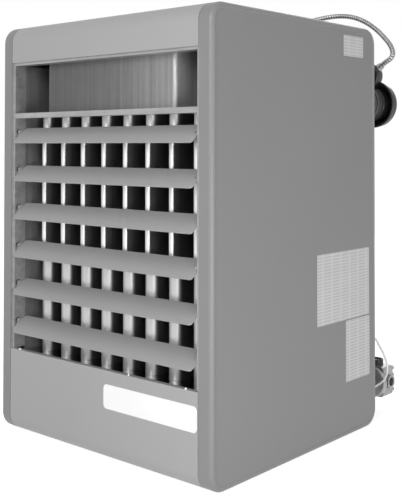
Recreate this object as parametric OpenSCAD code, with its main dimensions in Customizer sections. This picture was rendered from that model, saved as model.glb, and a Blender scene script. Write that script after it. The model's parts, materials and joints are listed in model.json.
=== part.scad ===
/* [Cabinet] */
// Width across the front
cab_w = 643; // [600:1:720]
// Depth from the front face to the rear face
cab_d = 565; // [540:1:640]
// Height from the floor side to the top
cab_h = 908; // [860:1:1000]
// Thickness of the painted sheet steel
sheet_t = 1.2; // [0.9:0.1:1.6]
// Radius of the four corners of a side panel
corner_r = 37; // [32:1:46]
// Radius of the soft roll round the edge of a side panel
edge_r = 9; // [6:0.5:12]
// How far the face of a side panel lies below its roll
dish = 1.8; // [0.5:0.1:3]
// Width of the slope from the roll down to the face
dish_w = 3.5; // [2:0.5:6]
// How far a side panel turns in over the front, top, rear and bottom
rim_w = 33; // [28:1:40]
// Open seam between a side panel's rim and the centre panels
seam = 1.5; // [0.5:0.1:2.5]
// Width of the flange that a centre panel tucks under a rim
lap_w = 16; // [10:1:20]

/* [Front of the cabinet] */
// Height of the top panel's front band
header_h = 83.5; // [74:0.5:92]
// Height of the bright lip under the top panel
lip_h = 6; // [4:0.5:9]
// Height of the window that shows the flue collector
recess_h = 107; // [90:1:120]
// Height of the crossbar under that window
bar_h = 11.2; // [9:0.1:14]
// Height of the lower front panel
lower_h = 185; // [175:1:200]
// How far the outlet frame lies behind the front face
frame_back = 4.5; // [3.5:0.1:6]
// Width of the outlet frame that shows beside the louvers
jamb_show = 6; // [4:0.5:8]
// Depth of the outlet frame's inner walls
jamb_depth = 28; // [22:1:32]

/* [Louvers] */
// Number of louver blades
louver_n = 6; // [5:1:6]
// Reach of a blade in front of its pivots
blade_front = 30; // [26:1:34]
// Reach of a blade behind its pivots
blade_back = 21; // [16:0.5:21]
// Thickness of a blade
blade_t = 1.2; // [0.9:0.1:1.6]
// Height of the bow across a blade
blade_bow = 3; // [1.5:0.1:5]
// Width of the hem folded under the front edge
hem_w = 3.4; // [2.5:0.1:5]
// Radius of a blade's front corners
blade_corner_r = 11; // [6:0.5:14]
// Gap from the end of a blade to the outlet frame
blade_end_gap = 3; // [2.4:0.1:4]
// Height of the pivots above the edges of a blade
pivot_lift = 6; // [5:0.25:8]
// Distance of the pivots behind the front face
pivot_back = 14.5; // [13:0.5:16]
// Radius of a pivot rivet
pivot_r = 2.4; // [1.8:0.1:3]
// Drop from the crossbar to the top pivots
top_drop = 30.7; // [28:0.1:40]
// Rise from the lower panel to the bottom pivots
bottom_rise = 60.8; // [56:0.1:72]
// Tilt of the upper four blades, front edge down
upper_tilt = 40; // [34:1:50]
// Tilt of the lower blades, front edge down
lower_tilt = 36; // [30:1:50]
// Number of blades set to the lower tilt
lower_set_n = 2; // [0:1:3]

/* [Heat exchanger] */
// Number of tubes
tube_n = 8; // [7:1:8]
// Distance from the outlet wall to the middle of the first tube
tube_wall_gap = 45.5; // [43:0.1:49]
// Half the thickness of a tube round the flame
flame_r = 15.5; // [13:0.5:17]
// Half the thickness of a tube in its narrow upper part
throat_r = 6.5; // [5:0.5:9]
// Half the thickness of a tube at its top
mouth_r = 13; // [11:0.5:15]
// Distance of the narrow noses' centre lines behind the front face
nose_back = 52.5; // [51:0.5:58]
// Length of a tube between the centre lines of its narrow noses
tube_l = 358; // [320:2:380]
// Height of the wide lower part of a tube
flame_h = 216; // [180:2:230]
// Height of the taper above it
taper_h = 15; // [10:1:30]
// Height of the flare under a tube's top
flare_h = 50; // [30:1:60]
// Height of the straight collar at a tube's top
collar_h = 14; // [8:1:20]
// Wall of a tube
tube_t = 1.2; // [0.9:0.1:1.6]
// Distance of the flue collector's front corners from the outlet walls
collector_in = 83; // [70:1:100]
// Distance of that plate behind the front face
collector_back = 30; // [29:0.5:36]
// Radius of the bend at the plate's sides
collector_r = 8; // [4:1:12]

/* [Fan] */
// Radius of the propeller
fan_r = 222; // [205:1:226]
// Gap round the propeller's tips
tip_gap = 6; // [4:0.5:8]
// Number of blades
fan_blade_n = 4; // [3:1:5]
// Pitch of the blades
fan_pitch = 24; // [18:1:28]
// Thickness of the blades
fan_blade_t = 1.6; // [1.2:0.1:2.5]
// Radius of the fan shaft
fan_shaft_r = 6.35; // [5:0.05:8]
// Radius of the fan motor
fan_motor_r = 70; // [60:1:75]
// Length of the fan motor
fan_motor_l = 105; // [90:1:120]
// Radius of the guard's wires
wire_r = 2.2; // [1.5:0.1:3]
// Number of rings in the guard's face
guard_ring_n = 5; // [4:1:7]
// Number of spokes in the guard
guard_spoke_n = 8; // [6:2:12]

/* [Power venter] */
// Distance of the venter's axis from the side face
venter_in = 111; // [108:1:114]
// Radius of the venter's scroll
scroll_r = 70; // [66:1:72]
// Depth of the scroll
scroll_d = 60; // [50:1:64]
// Radius of the venter wheel
wheel_r = 56; // [48:1:58]
// Number of blades on the wheel
wheel_blade_n = 16; // [10:1:20]
// Radius of the vent collar, for 5 inch pipe
vent_r = 63; // [60:0.5:64]
// Length of the vent collar
vent_l = 60; // [50:1:80]
// Radius of the venter motor's can
can_r = 42; // [36:1:46]
// Radius of the venter motor's rear shroud
shroud_r = 57; // [52:1:60]
// Radius of the rolled rim of the shroud
shroud_rim_r = 8; // [5:0.5:10]
// Radius of the terminal housing above the motor
dome_r = 33; // [28:1:36]

/* [Gas train] */
// Radius of the gas manifold
manifold_r = 13; // [11:0.5:14]
// Radius of a burner tube
burner_r = 15; // [12:0.5:16]
// Radius of the valve's diaphragm cover
cover_r = 36; // [32:1:38]
// Radius of the gas inlet, for half inch pipe thread
inlet_r = 10.4; // [9:0.1:12]
// Radius of the gas valve's knob
knob_r = 14; // [10:0.5:16]

/* [Wiring] */
// Outer radius of the armoured conduit
conduit_r = 6.5; // [5.5:0.1:7.5]
// Pitch of the conduit's ribs
conduit_pitch = 6.5; // [6:0.25:9]
// Radius of the ignition lead
lead_r = 2.5; // [2:0.1:3]
// Radius of the pressure hose
hose_r = 4; // [3:0.1:5]
// Radius of the pilot tube
pilot_r = 3.2; // [2.5:0.1:4]

/* [Hanging] */
// Distance of the hanger nuts from the side faces
hang_side_in = 81.5; // [70:0.5:110]
// Distance of the hanger nuts from the front and rear faces
hang_end_in = 82.5; // [70:0.5:110]
// Radius of the thread in a hanger nut, for 3/8 inch rod
hang_r = 4.76; // [4:0.01:6.4]

/* [Hidden] */

$fn = 48;
fine_sides = 96;

// Clearance between sheets that lie on each other
fit = 0.2;
// Clearance of a shaft or rivet in its hole
play = 0.06;
// How far a cut runs past the face that it opens
over = 1;
// Play along its axis of anything that turns
end_play = 0.3;
// Rivet heads, screw heads and how far screws lie from an edge
rivet_head_r = 4;
rivet_head_h = 1.2;
screw_head_r = 4.6;
screw_head_h = 2.6;
screw_r = 2;
screw_l = 9;
screw_edge = 14;

front_y = -cab_d / 2;
rear_y = cab_d / 2;
side_x = cab_w / 2;
side_in_x = side_x - dish - sheet_t;
panel_hw = side_x - rim_w - seam;
open_hw = panel_hw - jamb_show;
under = sheet_t + fit;
web_w = 3;

lip_top_z = cab_h - header_h;
lip_z = lip_top_z - lip_h;
recess_z = lip_z - recess_h;
outlet_top_z = recess_z - bar_h;
outlet_z = lower_h;
lower_return = 11;
lower_under = 20;

frame_y = front_y + frame_back;
frame_tuck = 14;
jamb_end_y = frame_y + jamb_depth;
bar_depth = 22;
baffle_y = jamb_end_y + fit;
baffle_end_y = rear_y - under - sheet_t - fit;
baffle_flange_y = rear_y - edge_r - fit;

pivot_y = front_y + pivot_back;
louver_pitch = (outlet_top_z - top_drop - outlet_z - bottom_rise) / (louver_n - 1);
blade_hw = open_hw - blade_end_gap;
blade_chord = blade_front + blade_back;
blade_arc_r = (blade_chord * blade_chord / 4 + blade_bow * blade_bow) / (2 * blade_bow);
ear_r = 5.2;
ear_hw = 8;
blade_hole_r = 2.5;
blade_hole_in = 9;
washer_r = 6.5;

plate_t = 2;
tube_sheet_drop = 8;
apron_h = 30;
apron_back = 11;
tube_pitch = 2 * (open_hw - tube_wall_gap) / (tube_n - 1);
tube_y = front_y + nose_back;
lower_plate_z = outlet_z - tube_sheet_drop - plate_t;
lower_plate_top_z = lower_plate_z + plate_t;
upper_plate_z = outlet_top_z + plate_t;
tube_z = lower_plate_top_z + fit;
tube_top_z = upper_plate_z - fit;
collector_z = upper_plate_z + plate_t + fit;
collector_over = 12;
collector_top_z = lip_top_z + collector_over;
collector_y = front_y + collector_back;
collector_step = 230;
collector_hw = open_hw - collector_in;
collector_wide_in = 18;
collector_wide = open_hw - collector_wide_in;
collector_end_y = rear_y - sheet_t - fit;

rear_open_z = corner_r;
rear_panel_z = lower_plate_top_z + fit + sheet_t;
fan_edge = 30;
fan_z = rear_panel_z + fan_r + fan_edge;
orifice_r = fan_r + tip_gap;
orifice_roll = 12;
fan_out = 24;
fan_y = rear_y + fan_out;
hub_r = 19;
hub_l = 30;
spider_r = 62;
fan_bow_r = 260;
paddle_r = 86;
tip_cut = 16;
neck_hw = 36;
guard_out = 80;
guard_y = rear_y + guard_out;
guard_r = orifice_r + 2 * wire_r + orifice_roll;
guard_bend_r = 14;
wire_sides = 6;
guard_eye_r = fan_motor_r + guard_bend_r;
motor_out = 62;
motor_y = rear_y + motor_out;
motor_bore_l = 24;
motor_round = 10;
boss_r = 22;
boss_l = 8;
band_t = 3;
band_w = 24;
band_back = 42;
arm_w = 22;
arm_angle = 60;
arm_r = guard_r + arm_w;
foot_l = 22;

venter_x = side_x - venter_in;
venter_drop = 80.5;
venter_z = lip_top_z - venter_drop;
gasket_t = 3;
scroll_t = 1.5;
scroll_y = rear_y + gasket_t;
scroll_end_y = scroll_y + scroll_d;
vent_box_gap = 11;
vent_box_hw = scroll_r;
vent_x = venter_x - scroll_r - vent_box_gap - vent_box_hw;
vent_rise = 10;
vent_z = venter_z + vent_rise;
vent_flange_w = 5;
venter_shaft_r = 4;
tap_in = 38.5;
tap_out = 32.5;
tap_h = 7;
inlet_eye_r = 44;
flue_hole_r = inlet_eye_r + gasket_t;
wheel_back = 10;
wheel_w = 34;
wheel_t = 1.2;
blade_l = 16.8;
can_gap = 8;
can_y = scroll_end_y + can_gap;
can_l = 120;
can_bore_l = 20;
post_r = 4;
post_at = 30;
shroud_l = 22;
shroud_t = 2.5;
shroud_lip_r = 4;
dome_l = 28;
dome_lift = 71;
dome_y = can_y + can_l - shroud_l - shroud_lip_r - dome_l - fit;
dome_round = 8;

manifold_out = 20;
manifold_y = rear_y + manifold_out;
manifold_z = 65;
manifold_t = 2.5;
manifold_hw = tube_pitch * (tube_n - 1) / 2 + manifold_r;
manifold_arm_hw = 1.5;
manifold_arm_h = 10;
spud_r = 5;
spud_l = 14;
burner_l = 430;
burner_gap = 8;
burner_y = rear_y - burner_gap - burner_l;
bell_l = 20;
bell_r = 19;
ribbon_hw = 9;
ribbon_h = 42;
ribbon_l = 330;
slot_w = 3;
slot_n = 24;
rack_t = 2;
rack_h = 105;
rack_foot = 14;
rack_end = 36;

valve_in = 76;
valve_x = side_x - valve_in;
valve_hw = 36;
valve_hh = 36;
valve_out = 97;
valve_d = 42;
valve_y = rear_y + valve_out;
valve_mid_y = valve_y + valve_d / 2;
valve_round = 9;
boss_hw = 9;
boss_hex_r = 17;
cover_l = 11;
cover_shift = 9;
cover_round = 4;
cover_boss_r = 12;
cover_bolt_n = 6;
pipe_in = 76;
pipe_x = valve_x - pipe_in;
knob_h = 14;
knob_stem_r = 4;
knob_stem_l = 12;
knob_groove_n = 12;
knob_y = valve_mid_y;
knob_x = valve_x + valve_hw / 6;

pilot_in = 11;
pilot_x = open_hw - pilot_in;
pilot_plate_hw = 9;
pilot_drop = 11;
pilot_rise = 9;
pilot_low_z = manifold_z - pilot_drop;
pilot_high_z = manifold_z + pilot_rise;
pilot_boss_r = 5;
pilot_boss_l = 22;
rack_y = rear_y - rack_end;
pilot_end_y = rack_y + pilot_boss_l + 2 * fit;
pilot_nut_r = 7;
pilot_nut_h = 9;
pilot_nut_in = 6.5;

box_t = 1.5;
box_hw = 45;
box_hh = 45;
box_d = 50;
box_gap = 10;
box_x = vent_x - vent_box_hw - box_gap - box_hw;
box_rise = 30;
box_z = venter_z + box_rise;
box_lid_t = 1.2;
box_lid_lip = 8;
connector_r = 9;
connector_flange_r = 11.5;
connector_flange_h = 3;
connector_h = 21;
connector_in = 17.5;
connector_out = 27.5;
connector_x = box_x + connector_in;
connector_y = rear_y + connector_out;
dome_angle = 35;
dome_reach = 43;

control_hw = 46;
control_hh = 36;
control_d = 30;
control_x = panel_hw - control_hw - box_lid_lip / 2;
control_z = rear_panel_z + control_hh + box_lid_lip;
control_rib_n = 5;
tower_r = 4.5;
tower_l = 6;
tower_out = 17.5;
tower_drop = 30;
transformer_hw = 30;
transformer_core_hw = 22;
transformer_hh = 27;
transformer_d = 44;
transformer_foot = 10;
switch_gap = 12;
switch_r = 28;
switch_d = 22;
switch_step = 4;
switch_port_r = 3;
switch_port_h = 10;
switch_port_out = 11.5;
switch_x = box_x - box_hw - switch_gap - switch_r;
transformer_in = 40;
transformer_x = switch_x - transformer_in;
transformer_z = box_z - switch_r - switch_gap - transformer_hh;
limit_in = 42;
limit_rise = 41.6;
limit_x = -panel_hw + limit_in;
limit_z = rear_panel_z + limit_rise;
limit_hw = 26;
limit_hh = 17;
limit_r = 13;
limit_d = 14;

// Corner that the venter's gear is placed from, and the one for the gas train
gear_at = [venter_x, rear_y, venter_z];
train_at = [side_x, rear_y, manifold_z];
// Route of the armoured conduit, from the junction box to the terminal housing
dome_at = [venter_x, dome_y + dome_l / 2, venter_z + dome_lift];
dome_out = [cos(dome_angle), 0, sin(dome_angle)];
conduit_via = [
    [-258.5, 27.5, 114], [-252.5, 33.5, 138], [-234.5, 49.5, 166], [-207.5, 73.5, 193],
    [-170.5, 101.5, 213.5], [-129.5, 127.5, 226], [-88.5, 145.5, 230.5], [-51.5, 155.5, 225],
    [-16.5, 160.5, 209.5], [14.5, 162.5, 187.5], [39, 162.5, 164], [55.5, 160.5, 144.5],
    [63.5, 157.5, 125], [59.5, 153.5, 112]
];
CONDUIT_ROUTE = concat(
    [[connector_x, connector_y, box_z + box_hh + connector_h + fit]],
    [for (p = conduit_via) gear_at + p],
    [dome_at + dome_out * (dome_reach + 2 * conduit_r), dome_at + dome_out * (dome_reach + fit)]
);
// Route of the ignition lead, from the ignition control to the pilot burner
lead_at = [control_x + control_hw + tower_l + fit, rear_y + tower_out, control_z - tower_drop];
lead_via = [
    [-22.5, 32.5, 119], [-21.5, 47.5, 101], [-20, 63.5, 80], [-18, 72.5, 60.8], [-17, 75.5, 44.7],
    [-19, 75.5, 27.6], [-28, 74.5, 11.6], [-40, 70.5, 1], [-48, 60.5, -6], [-51.5, 42.5, -10],
    [-51.5, 13.5, -11]
];
LEAD_ROUTE = concat(
    [lead_at, lead_at + [2 * lead_r, 0, 0]],
    [for (p = lead_via) train_at + p],
    [[pilot_x, pilot_end_y, pilot_low_z]]
);
// Route of the pressure hose, from the pressure switch to the venter
hose_at = [switch_x, rear_y + switch_port_out, box_z + switch_r + switch_port_h + fit];
tap_at = [venter_x - tap_in, rear_y + tap_out, venter_z + scroll_r + tap_h + fit];
hose_via = [
    [-352, 19.5, 100], [-318, 45.5, 111], [-244, 65.5, 114], [-164, 65.5, 112], [-94, 55.5, 106],
    [-54, 41.5, 98]
];
HOSE_ROUTE = concat(
    [hose_at, hose_at + [0, 0, 2 * hose_r]],
    [for (p = hose_via) gear_at + p],
    [tap_at + [0, 0, 2 * hose_r], tap_at]
);
// Route of the pilot tube, from the gas valve to the pilot burner
pilot_at = [
    valve_x - valve_hw + pilot_nut_in, valve_y + valve_round, manifold_z + valve_hh + pilot_nut_h + fit
];
pilot_via = [
    [-103, 94, 59], [-90, 69.5, 60], [-70, 35.5, 38], [-54, 16.5, 15], [-51.5, 3.5, 9]
];
PILOT_ROUTE = concat(
    [pilot_at, pilot_at + [0, 0, 2 * pilot_r]],
    [for (p = pilot_via) train_at + p],
    [[pilot_x, pilot_end_y, pilot_high_z]]
);
conduit_wall = 2;
rib_h = 0.9;
route_steps = 12;
nose_steps = 12;
cord_sides = 8;

// A sheet outline in (y, z), drawn along x about the middle
module along_x(len) {
    rotate([90, 0, 90]) linear_extrude(len, center = true) children();
}

// An outline in (x, z), drawn from y = 0 towards the rear
module along_y(len) {
    translate([0, len, 0]) rotate([90, 0, 0]) linear_extrude(len) children();
}

// A turned outline in (radius, y), turned about the y axis
module about_y() {
    rotate([-90, 0, 0]) rotate_extrude() children();
}

// A round bar from y = 0 towards the rear
module bar_y(r, len) {
    rotate([-90, 0, 0]) cylinder(r = r, h = len);
}

// A round bar from x = 0 to the right
module bar_x(r, len) {
    rotate([0, 90, 0]) cylinder(r = r, h = len);
}

// A block between two corners
module block(low, high) {
    translate(low) cube(high - low);
}

// A rectangle with round corners, about its middle
module round_rect(w, h, r) {
    square([w - 2 * r, h], center = true);
    square([w, h - 2 * r], center = true);
    for (sx = [-1, 1], sy = [-1, 1])
        translate([sx * (w / 2 - r), sy * (h / 2 - r)]) circle(r);
}

// The outline of the jacket in (y, z), inset by the given depth
module jacket_outline(inset) {
    translate([0, cab_h / 2])
        round_rect(cab_d - 2 * inset, cab_h - 2 * inset, corner_r - inset);
}

// A sheet that follows the jacket, from one inset to another
module wrap(inset, deep) {
    difference() {
        jacket_outline(inset);
        jacket_outline(deep);
    }
}

// Section through the edge of a side panel: face, slope, roll and rim
module rim_section() {
    roll_r = corner_r - edge_r;
    square_w = roll_r - dish_w;
    translate([0, dish]) square([square_w, sheet_t]);
    polygon([
        [roll_r, 0], [roll_r, sheet_t], [square_w, dish + sheet_t], [square_w, dish]
    ]);
    intersection() {
        translate([roll_r, edge_r]) difference() {
            circle(edge_r);
            circle(edge_r - sheet_t);
        }
        translate([roll_r, 0]) square(edge_r);
    }
    translate([corner_r - sheet_t, edge_r]) square([sheet_t, rim_w - edge_r]);
}

// A side panel lying face down, its rim standing up
module side_tray() {
    run_x = cab_h - 2 * corner_r;
    run_y = cab_d - 2 * corner_r;
    for (k = [0 : 3]) {
        along = k % 2 == 0 ? run_y : run_x;
        across = k % 2 == 0 ? run_x : run_y;
        rotate([0, 0, 90 * k]) translate([across / 2, along / 2, 0]) {
            rotate_extrude(angle = 90) rim_section();
            rotate([90, 0, 0]) linear_extrude(along) rim_section();
        }
    }
    translate([-run_x / 2, -run_y / 2, dish]) cube([run_x, run_y, sheet_t]);
}

module right_side_sheet() {
    difference() {
        translate([side_x, 0, cab_h / 2]) rotate([0, -90, 0]) side_tray();
        screw_places() translate([0, 0, -screw_l]) cylinder(r = screw_r + play, h = screw_l + over);
    }
}

// Puts its child at each screw of the jacket, pointing out of the sheet
module screw_places() {
    screw_x = panel_hw + seam + lap_w / 3;
    rear_low = rear_panel_z + 2 * screw_edge;
    rear_step = (lip_top_z - 2 * screw_edge - rear_low) / 3;
    top_step = cab_d / 2 - corner_r - 2 * screw_edge;
    for (side = [-1, 1]) {
        for (k = [0 : 3])
            translate([side * screw_x, rear_y, rear_low + k * rear_step])
                rotate([-90, 0, 0]) children();
        for (k = [-1 : 1])
            translate([side * screw_x, k * top_step, cab_h]) children();
    }
}

// A centre panel of the jacket: flush sheet, a joggle at each side, flanges under the rims
module jacket_band() {
    along_x(2 * panel_hw) intersection() {
        wrap(0, sheet_t);
        children();
    }
    for (side = [-1, 1]) {
        translate([side * (panel_hw - web_w / 2), 0, 0]) along_x(web_w) intersection() {
            wrap(0, under + sheet_t);
            children();
        }
        translate([side * (panel_hw + (lap_w - web_w) / 2), 0, 0]) along_x(lap_w + web_w)
            intersection() {
                wrap(under, under + sheet_t);
                children();
            }
    }
}

module left_side_panel() {
    color([0.58, 0.58, 0.58]) mirror([1, 0, 0]) right_side_sheet();
}

module right_side_panel() {
    color([0.58, 0.58, 0.58]) right_side_sheet();
}

// Puts its child at each hanger nut
module hanger_places() {
    for (sx = [-1, 1], sy = [-1, 1])
        translate([sx * (side_x - hang_side_in), sy * (rear_y - hang_end_in), cab_h - sheet_t]) children();
}

module top_panel() {
    color([0.64, 0.64, 0.64]) difference() {
        jacket_band() translate([-cab_d, lip_top_z]) square([2 * cab_d, header_h + over]);
        screw_places() translate([0, 0, -screw_l]) cylinder(r = screw_r + play, h = screw_l + over);
        hanger_places() translate([0, 0, -over])
            cylinder(r = hang_r + play, h = sheet_t + 2 * over);
    }
}

module lower_front_panel() {
    color([0.64, 0.64, 0.64]) {
        jacket_band() translate([-cab_d, -over])
            square([cab_d / 2 + corner_r + lower_under, outlet_z + over]);
        block([-panel_hw, front_y, outlet_z - sheet_t], [panel_hw, front_y + lower_return, outlet_z]);
    }
}

module bottom_panel() {
    color([0.6, 0.6, 0.6]) jacket_band()
        translate([front_y + corner_r + lower_under + seam, -over]) square([cab_d, rear_open_z + over]);
}

// The rolled ring that leads the air into the propeller
module orifice_ring() {
    roll_mid_r = orifice_r + orifice_roll;
    about_y() {
        intersection() {
            translate([roll_mid_r, -orifice_roll]) difference() {
                circle(orifice_roll);
                circle(orifice_roll - sheet_t);
            }
            translate([orifice_r, -orifice_roll]) square(orifice_roll);
        }
        translate([orifice_r, -2 * orifice_roll]) square([sheet_t, orifice_roll]);
    }
}

module rear_panel() {
    color([0.6, 0.6, 0.6]) {
        difference() {
            jacket_band() translate([0, rear_panel_z])
                square([cab_d, lip_top_z - seam - rear_panel_z]);
            translate([0, rear_y - sheet_t - over, fan_z])
                bar_y(orifice_r + orifice_roll, sheet_t + 2 * over);
            translate([venter_x, rear_y - sheet_t - over, venter_z])
                bar_y(flue_hole_r, sheet_t + 2 * over);
            screw_places() translate([0, 0, -screw_l])
                cylinder(r = screw_r + play, h = screw_l + over);
        }
        translate([0, rear_y, fan_z]) orifice_ring();
    }
}

// Flange of the outlet frame behind a panel, between two heights or widths
module frame_side(side) {
    tuck_y = front_y + under;
    mirror([side < 0 ? 1 : 0, 0, 0]) {
        block([open_hw, frame_y, outlet_z + fit], [panel_hw + web_w, frame_y + sheet_t, lip_top_z]);
        block([panel_hw, tuck_y, outlet_z + fit], [panel_hw + web_w, frame_y + sheet_t, lip_top_z]);
        block([panel_hw, tuck_y, outlet_z + fit], [panel_hw + frame_tuck, tuck_y + sheet_t, lip_top_z]);
        block([open_hw, frame_y, outlet_z + fit], [open_hw + sheet_t, jamb_end_y, lip_z + sheet_t]);
    }
}

module outlet_frame() {
    tuck_y = front_y + under;
    tuck_hw = panel_hw - web_w - fit;
    bar_end_y = frame_y + bar_depth;
    color([0.7, 0.7, 0.7]) difference() {
        union() {
            for (side = [-1, 1]) frame_side(side);
            block([-panel_hw, frame_y, lip_z], [panel_hw, frame_y + sheet_t, lip_top_z]);
            block([-tuck_hw, frame_y, lip_z], [tuck_hw, frame_y + sheet_t, lip_top_z + web_w]);
            block([-tuck_hw, tuck_y, lip_top_z + fit],
                [tuck_hw, frame_y + sheet_t, lip_top_z + web_w]);
            block([-tuck_hw, tuck_y, lip_top_z + fit],
                [tuck_hw, tuck_y + sheet_t, lip_top_z + frame_tuck]);
            block([-open_hw, frame_y, lip_z], [open_hw, collector_y - fit, lip_z + sheet_t]);
            block([-open_hw, frame_y, outlet_top_z], [open_hw, frame_y + sheet_t, recess_z]);
            block([-open_hw, frame_y, recess_z - sheet_t], [open_hw, bar_end_y, recess_z]);
            block([-open_hw, frame_y, outlet_top_z], [open_hw, bar_end_y, outlet_top_z + sheet_t]);
        }
        for (i = [0 : louver_n - 1])
            translate([-open_hw - sheet_t - over, pivot_y, pivot_z(i)])
                bar_x(pivot_r + play, 2 * (open_hw + sheet_t + over));
    }
}

// A side wall of the warm air duct, flanged out to the side panel
module baffle() {
    block([open_hw, baffle_y, tube_z], [open_hw + sheet_t, baffle_end_y, lip_z]);
    block([open_hw, baffle_y, tube_z], [side_in_x - fit, baffle_flange_y, tube_z + sheet_t]);
    block([open_hw, baffle_y, lip_z - sheet_t], [side_in_x - fit, baffle_flange_y, lip_z]);
}

module left_baffle() {
    color([0.62, 0.62, 0.63]) mirror([1, 0, 0]) baffle();
}

module right_baffle() {
    color([0.62, 0.62, 0.63]) baffle();
}

// Plan of the flue collector, inset by the wall on the inside
module collector_plan(inset) {
    r = collector_r - inset;
    hw = collector_hw - inset;
    y0 = collector_y + inset;
    y1 = collector_y + collector_step;
    y2 = collector_end_y - inset;
    wide = collector_wide - inset;
    for (side = [-1, 1]) translate([side * (hw - r), y0 + r]) circle(r);
    translate([-hw + r, y0]) square([2 * (hw - r), y1 - y0]);
    polygon([
        [-hw, y0 + r], [hw, y0 + r], [hw, y1], [wide, (y1 + y2) / 2], [wide, y2], [-hw, y2]
    ]);
}

module flue_collector_box() {
    color([0.75, 0.75, 0.76]) difference() {
        translate([0, 0, collector_z]) linear_extrude(collector_top_z - collector_z)
            collector_plan(0);
        translate([0, 0, collector_z - over])
            linear_extrude(collector_top_z - collector_z - sheet_t + over) collector_plan(sheet_t);
        translate([venter_x, collector_end_y - sheet_t - over, venter_z])
            bar_y(inlet_eye_r + fit, sheet_t + 2 * over);
    }
}

// Puts its child at each tube of the heat exchanger
module tube_places() {
    for (i = [0 : tube_n - 1]) translate([tube_x(i), tube_y, 0]) children();
}

// How far a nose of half thickness r lies inside the narrow ones, as the sheet's girth is the same
function nose_in(r) = PI * (r - throat_r) / 2;

// A flat tube's outline in plan, of the given half thickness and drawn in by the inset
module tube_plan(r, inset) {
    in = nose_in(r);
    for (y = [in, tube_l - in]) translate([0, y]) circle(r - inset);
    translate([inset - r, in]) square([2 * (r - inset), tube_l - 2 * in]);
}

// The same outline as a ring of points at height z
function tube_ring(r, inset, z) = [
    for (rear = [0, 1], k = [0 : nose_steps])
        let (
            a = 180 * (1 - rear + k / nose_steps),
            y = rear == 1 ? tube_l - nose_in(r) : nose_in(r)
        )
            [(r - inset) * cos(a), y + (r - inset) * sin(a), z]
];

module upper_tube_sheet() {
    turn_h = recess_z - upper_plate_z;
    color([0.7, 0.7, 0.71]) difference() {
        union() {
            block([-open_hw + fit, baffle_y, upper_plate_z],
                [open_hw - fit, tube_y + tube_l + 2 * mouth_r, upper_plate_z + plate_t]);
            block([-open_hw + fit, baffle_y, upper_plate_z],
                [-collector_hw - collector_r, baffle_y + sheet_t, upper_plate_z + turn_h]);
            block([collector_hw + collector_r, baffle_y, upper_plate_z],
                [open_hw - fit, baffle_y + sheet_t, upper_plate_z + turn_h]);
        }
        tube_places() translate([0, 0, upper_plate_z - over])
            linear_extrude(plate_t + 2 * over) tube_plan(mouth_r, tube_t);
    }
}

module lower_tube_sheet() {
    apron_y = front_y + apron_back + fit;
    color([0.72, 0.72, 0.73]) difference() {
        union() {
            block([-open_hw + fit, apron_y, lower_plate_z],
                [open_hw - fit, tube_y + tube_l + 2 * flame_r, lower_plate_top_z]);
            block([-side_in_x + fit, baffle_y, lower_plate_z],
                [side_in_x - fit, tube_y + tube_l + 2 * flame_r, lower_plate_top_z]);
            block([-open_hw + fit, apron_y, lower_plate_z - apron_h],
                [open_hw - fit, apron_y + plate_t, lower_plate_top_z]);
        }
        tube_places() translate([0, 0, lower_plate_z - over])
            linear_extrude(plate_t + 2 * over) tube_plan(flame_r, tube_t);
    }
}

// One open-ended tube: wide round the flame, narrow above it and flared at the top
module heat_exchanger_tube(i) {
    levels = [
        [mouth_r, tube_top_z], [mouth_r, tube_top_z - collar_h],
        [throat_r, tube_top_z - collar_h - flare_h], [throat_r, tube_z + flame_h + taper_h],
        [flame_r, tube_z + flame_h], [flame_r, tube_z]
    ];
    outer = [for (l = levels) tube_ring(l[0], 0, l[1])];
    bore = [for (k = [len(levels) - 1 : -1 : 0]) tube_ring(levels[k][0], tube_t, levels[k][1])];
    color([0.76, 0.76, 0.77]) translate([tube_x(i), tube_y, 0]) skin(concat(outer, bore), true);
}

// One burner: tube, bell at the rear and the slotted ribbon on top
module burner() {
    difference() {
        union() {
            bar_y(burner_r, burner_l - bell_l);
            translate([0, burner_l - bell_l, 0]) rotate([-90, 0, 0])
                cylinder(r1 = burner_r, r2 = bell_r, h = bell_l);
            translate([-ribbon_hw, 0, 0]) cube([2 * ribbon_hw, ribbon_l, burner_r + ribbon_h]);
        }
        translate([0, burner_r, 0]) bar_y(burner_r - rack_t, burner_l);
        translate([0, burner_l - bell_l, 0]) rotate([-90, 0, 0])
            cylinder(r1 = burner_r - rack_t, r2 = bell_r - rack_t, h = bell_l + over);
        for (k = [0 : slot_n - 1])
            translate([-ribbon_hw + rack_t, ribbon_l * (k + 0.5) / slot_n, burner_r + ribbon_h / 2])
                cube([2 * (ribbon_hw - rack_t), slot_w, ribbon_h]);
    }
}

module burner_set() {
    color([0.66, 0.66, 0.66]) for (i = [0 : tube_n - 1])
        translate([tube_x(i), burner_y, manifold_z]) burner();
}

// One cross rail of the burner rack
module rack_rail() {
    difference() {
        union() {
            block([-open_hw, 0, under + sheet_t], [open_hw, rack_t, rack_h]);
            block([-open_hw, -rack_foot, under + sheet_t], [open_hw, 0, under + sheet_t + rack_t]);
        }
        for (i = [0 : tube_n - 1]) translate([tube_x(i), -over, manifold_z])
            bar_y(burner_r + play, rack_t + 2 * over);
        for (i = [0 : tube_n - 1]) translate([tube_x(i), 0, manifold_z])
            block([-ribbon_hw - fit, -over, 0], [ribbon_hw + fit, rack_t + over, rack_h]);
    }
}

module burner_rack() {
    color([0.6, 0.6, 0.6]) {
        translate([0, rack_y - rack_t, 0]) rack_rail();
        translate([0, burner_y + rack_end, 0]) rack_rail();
    }
}

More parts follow.
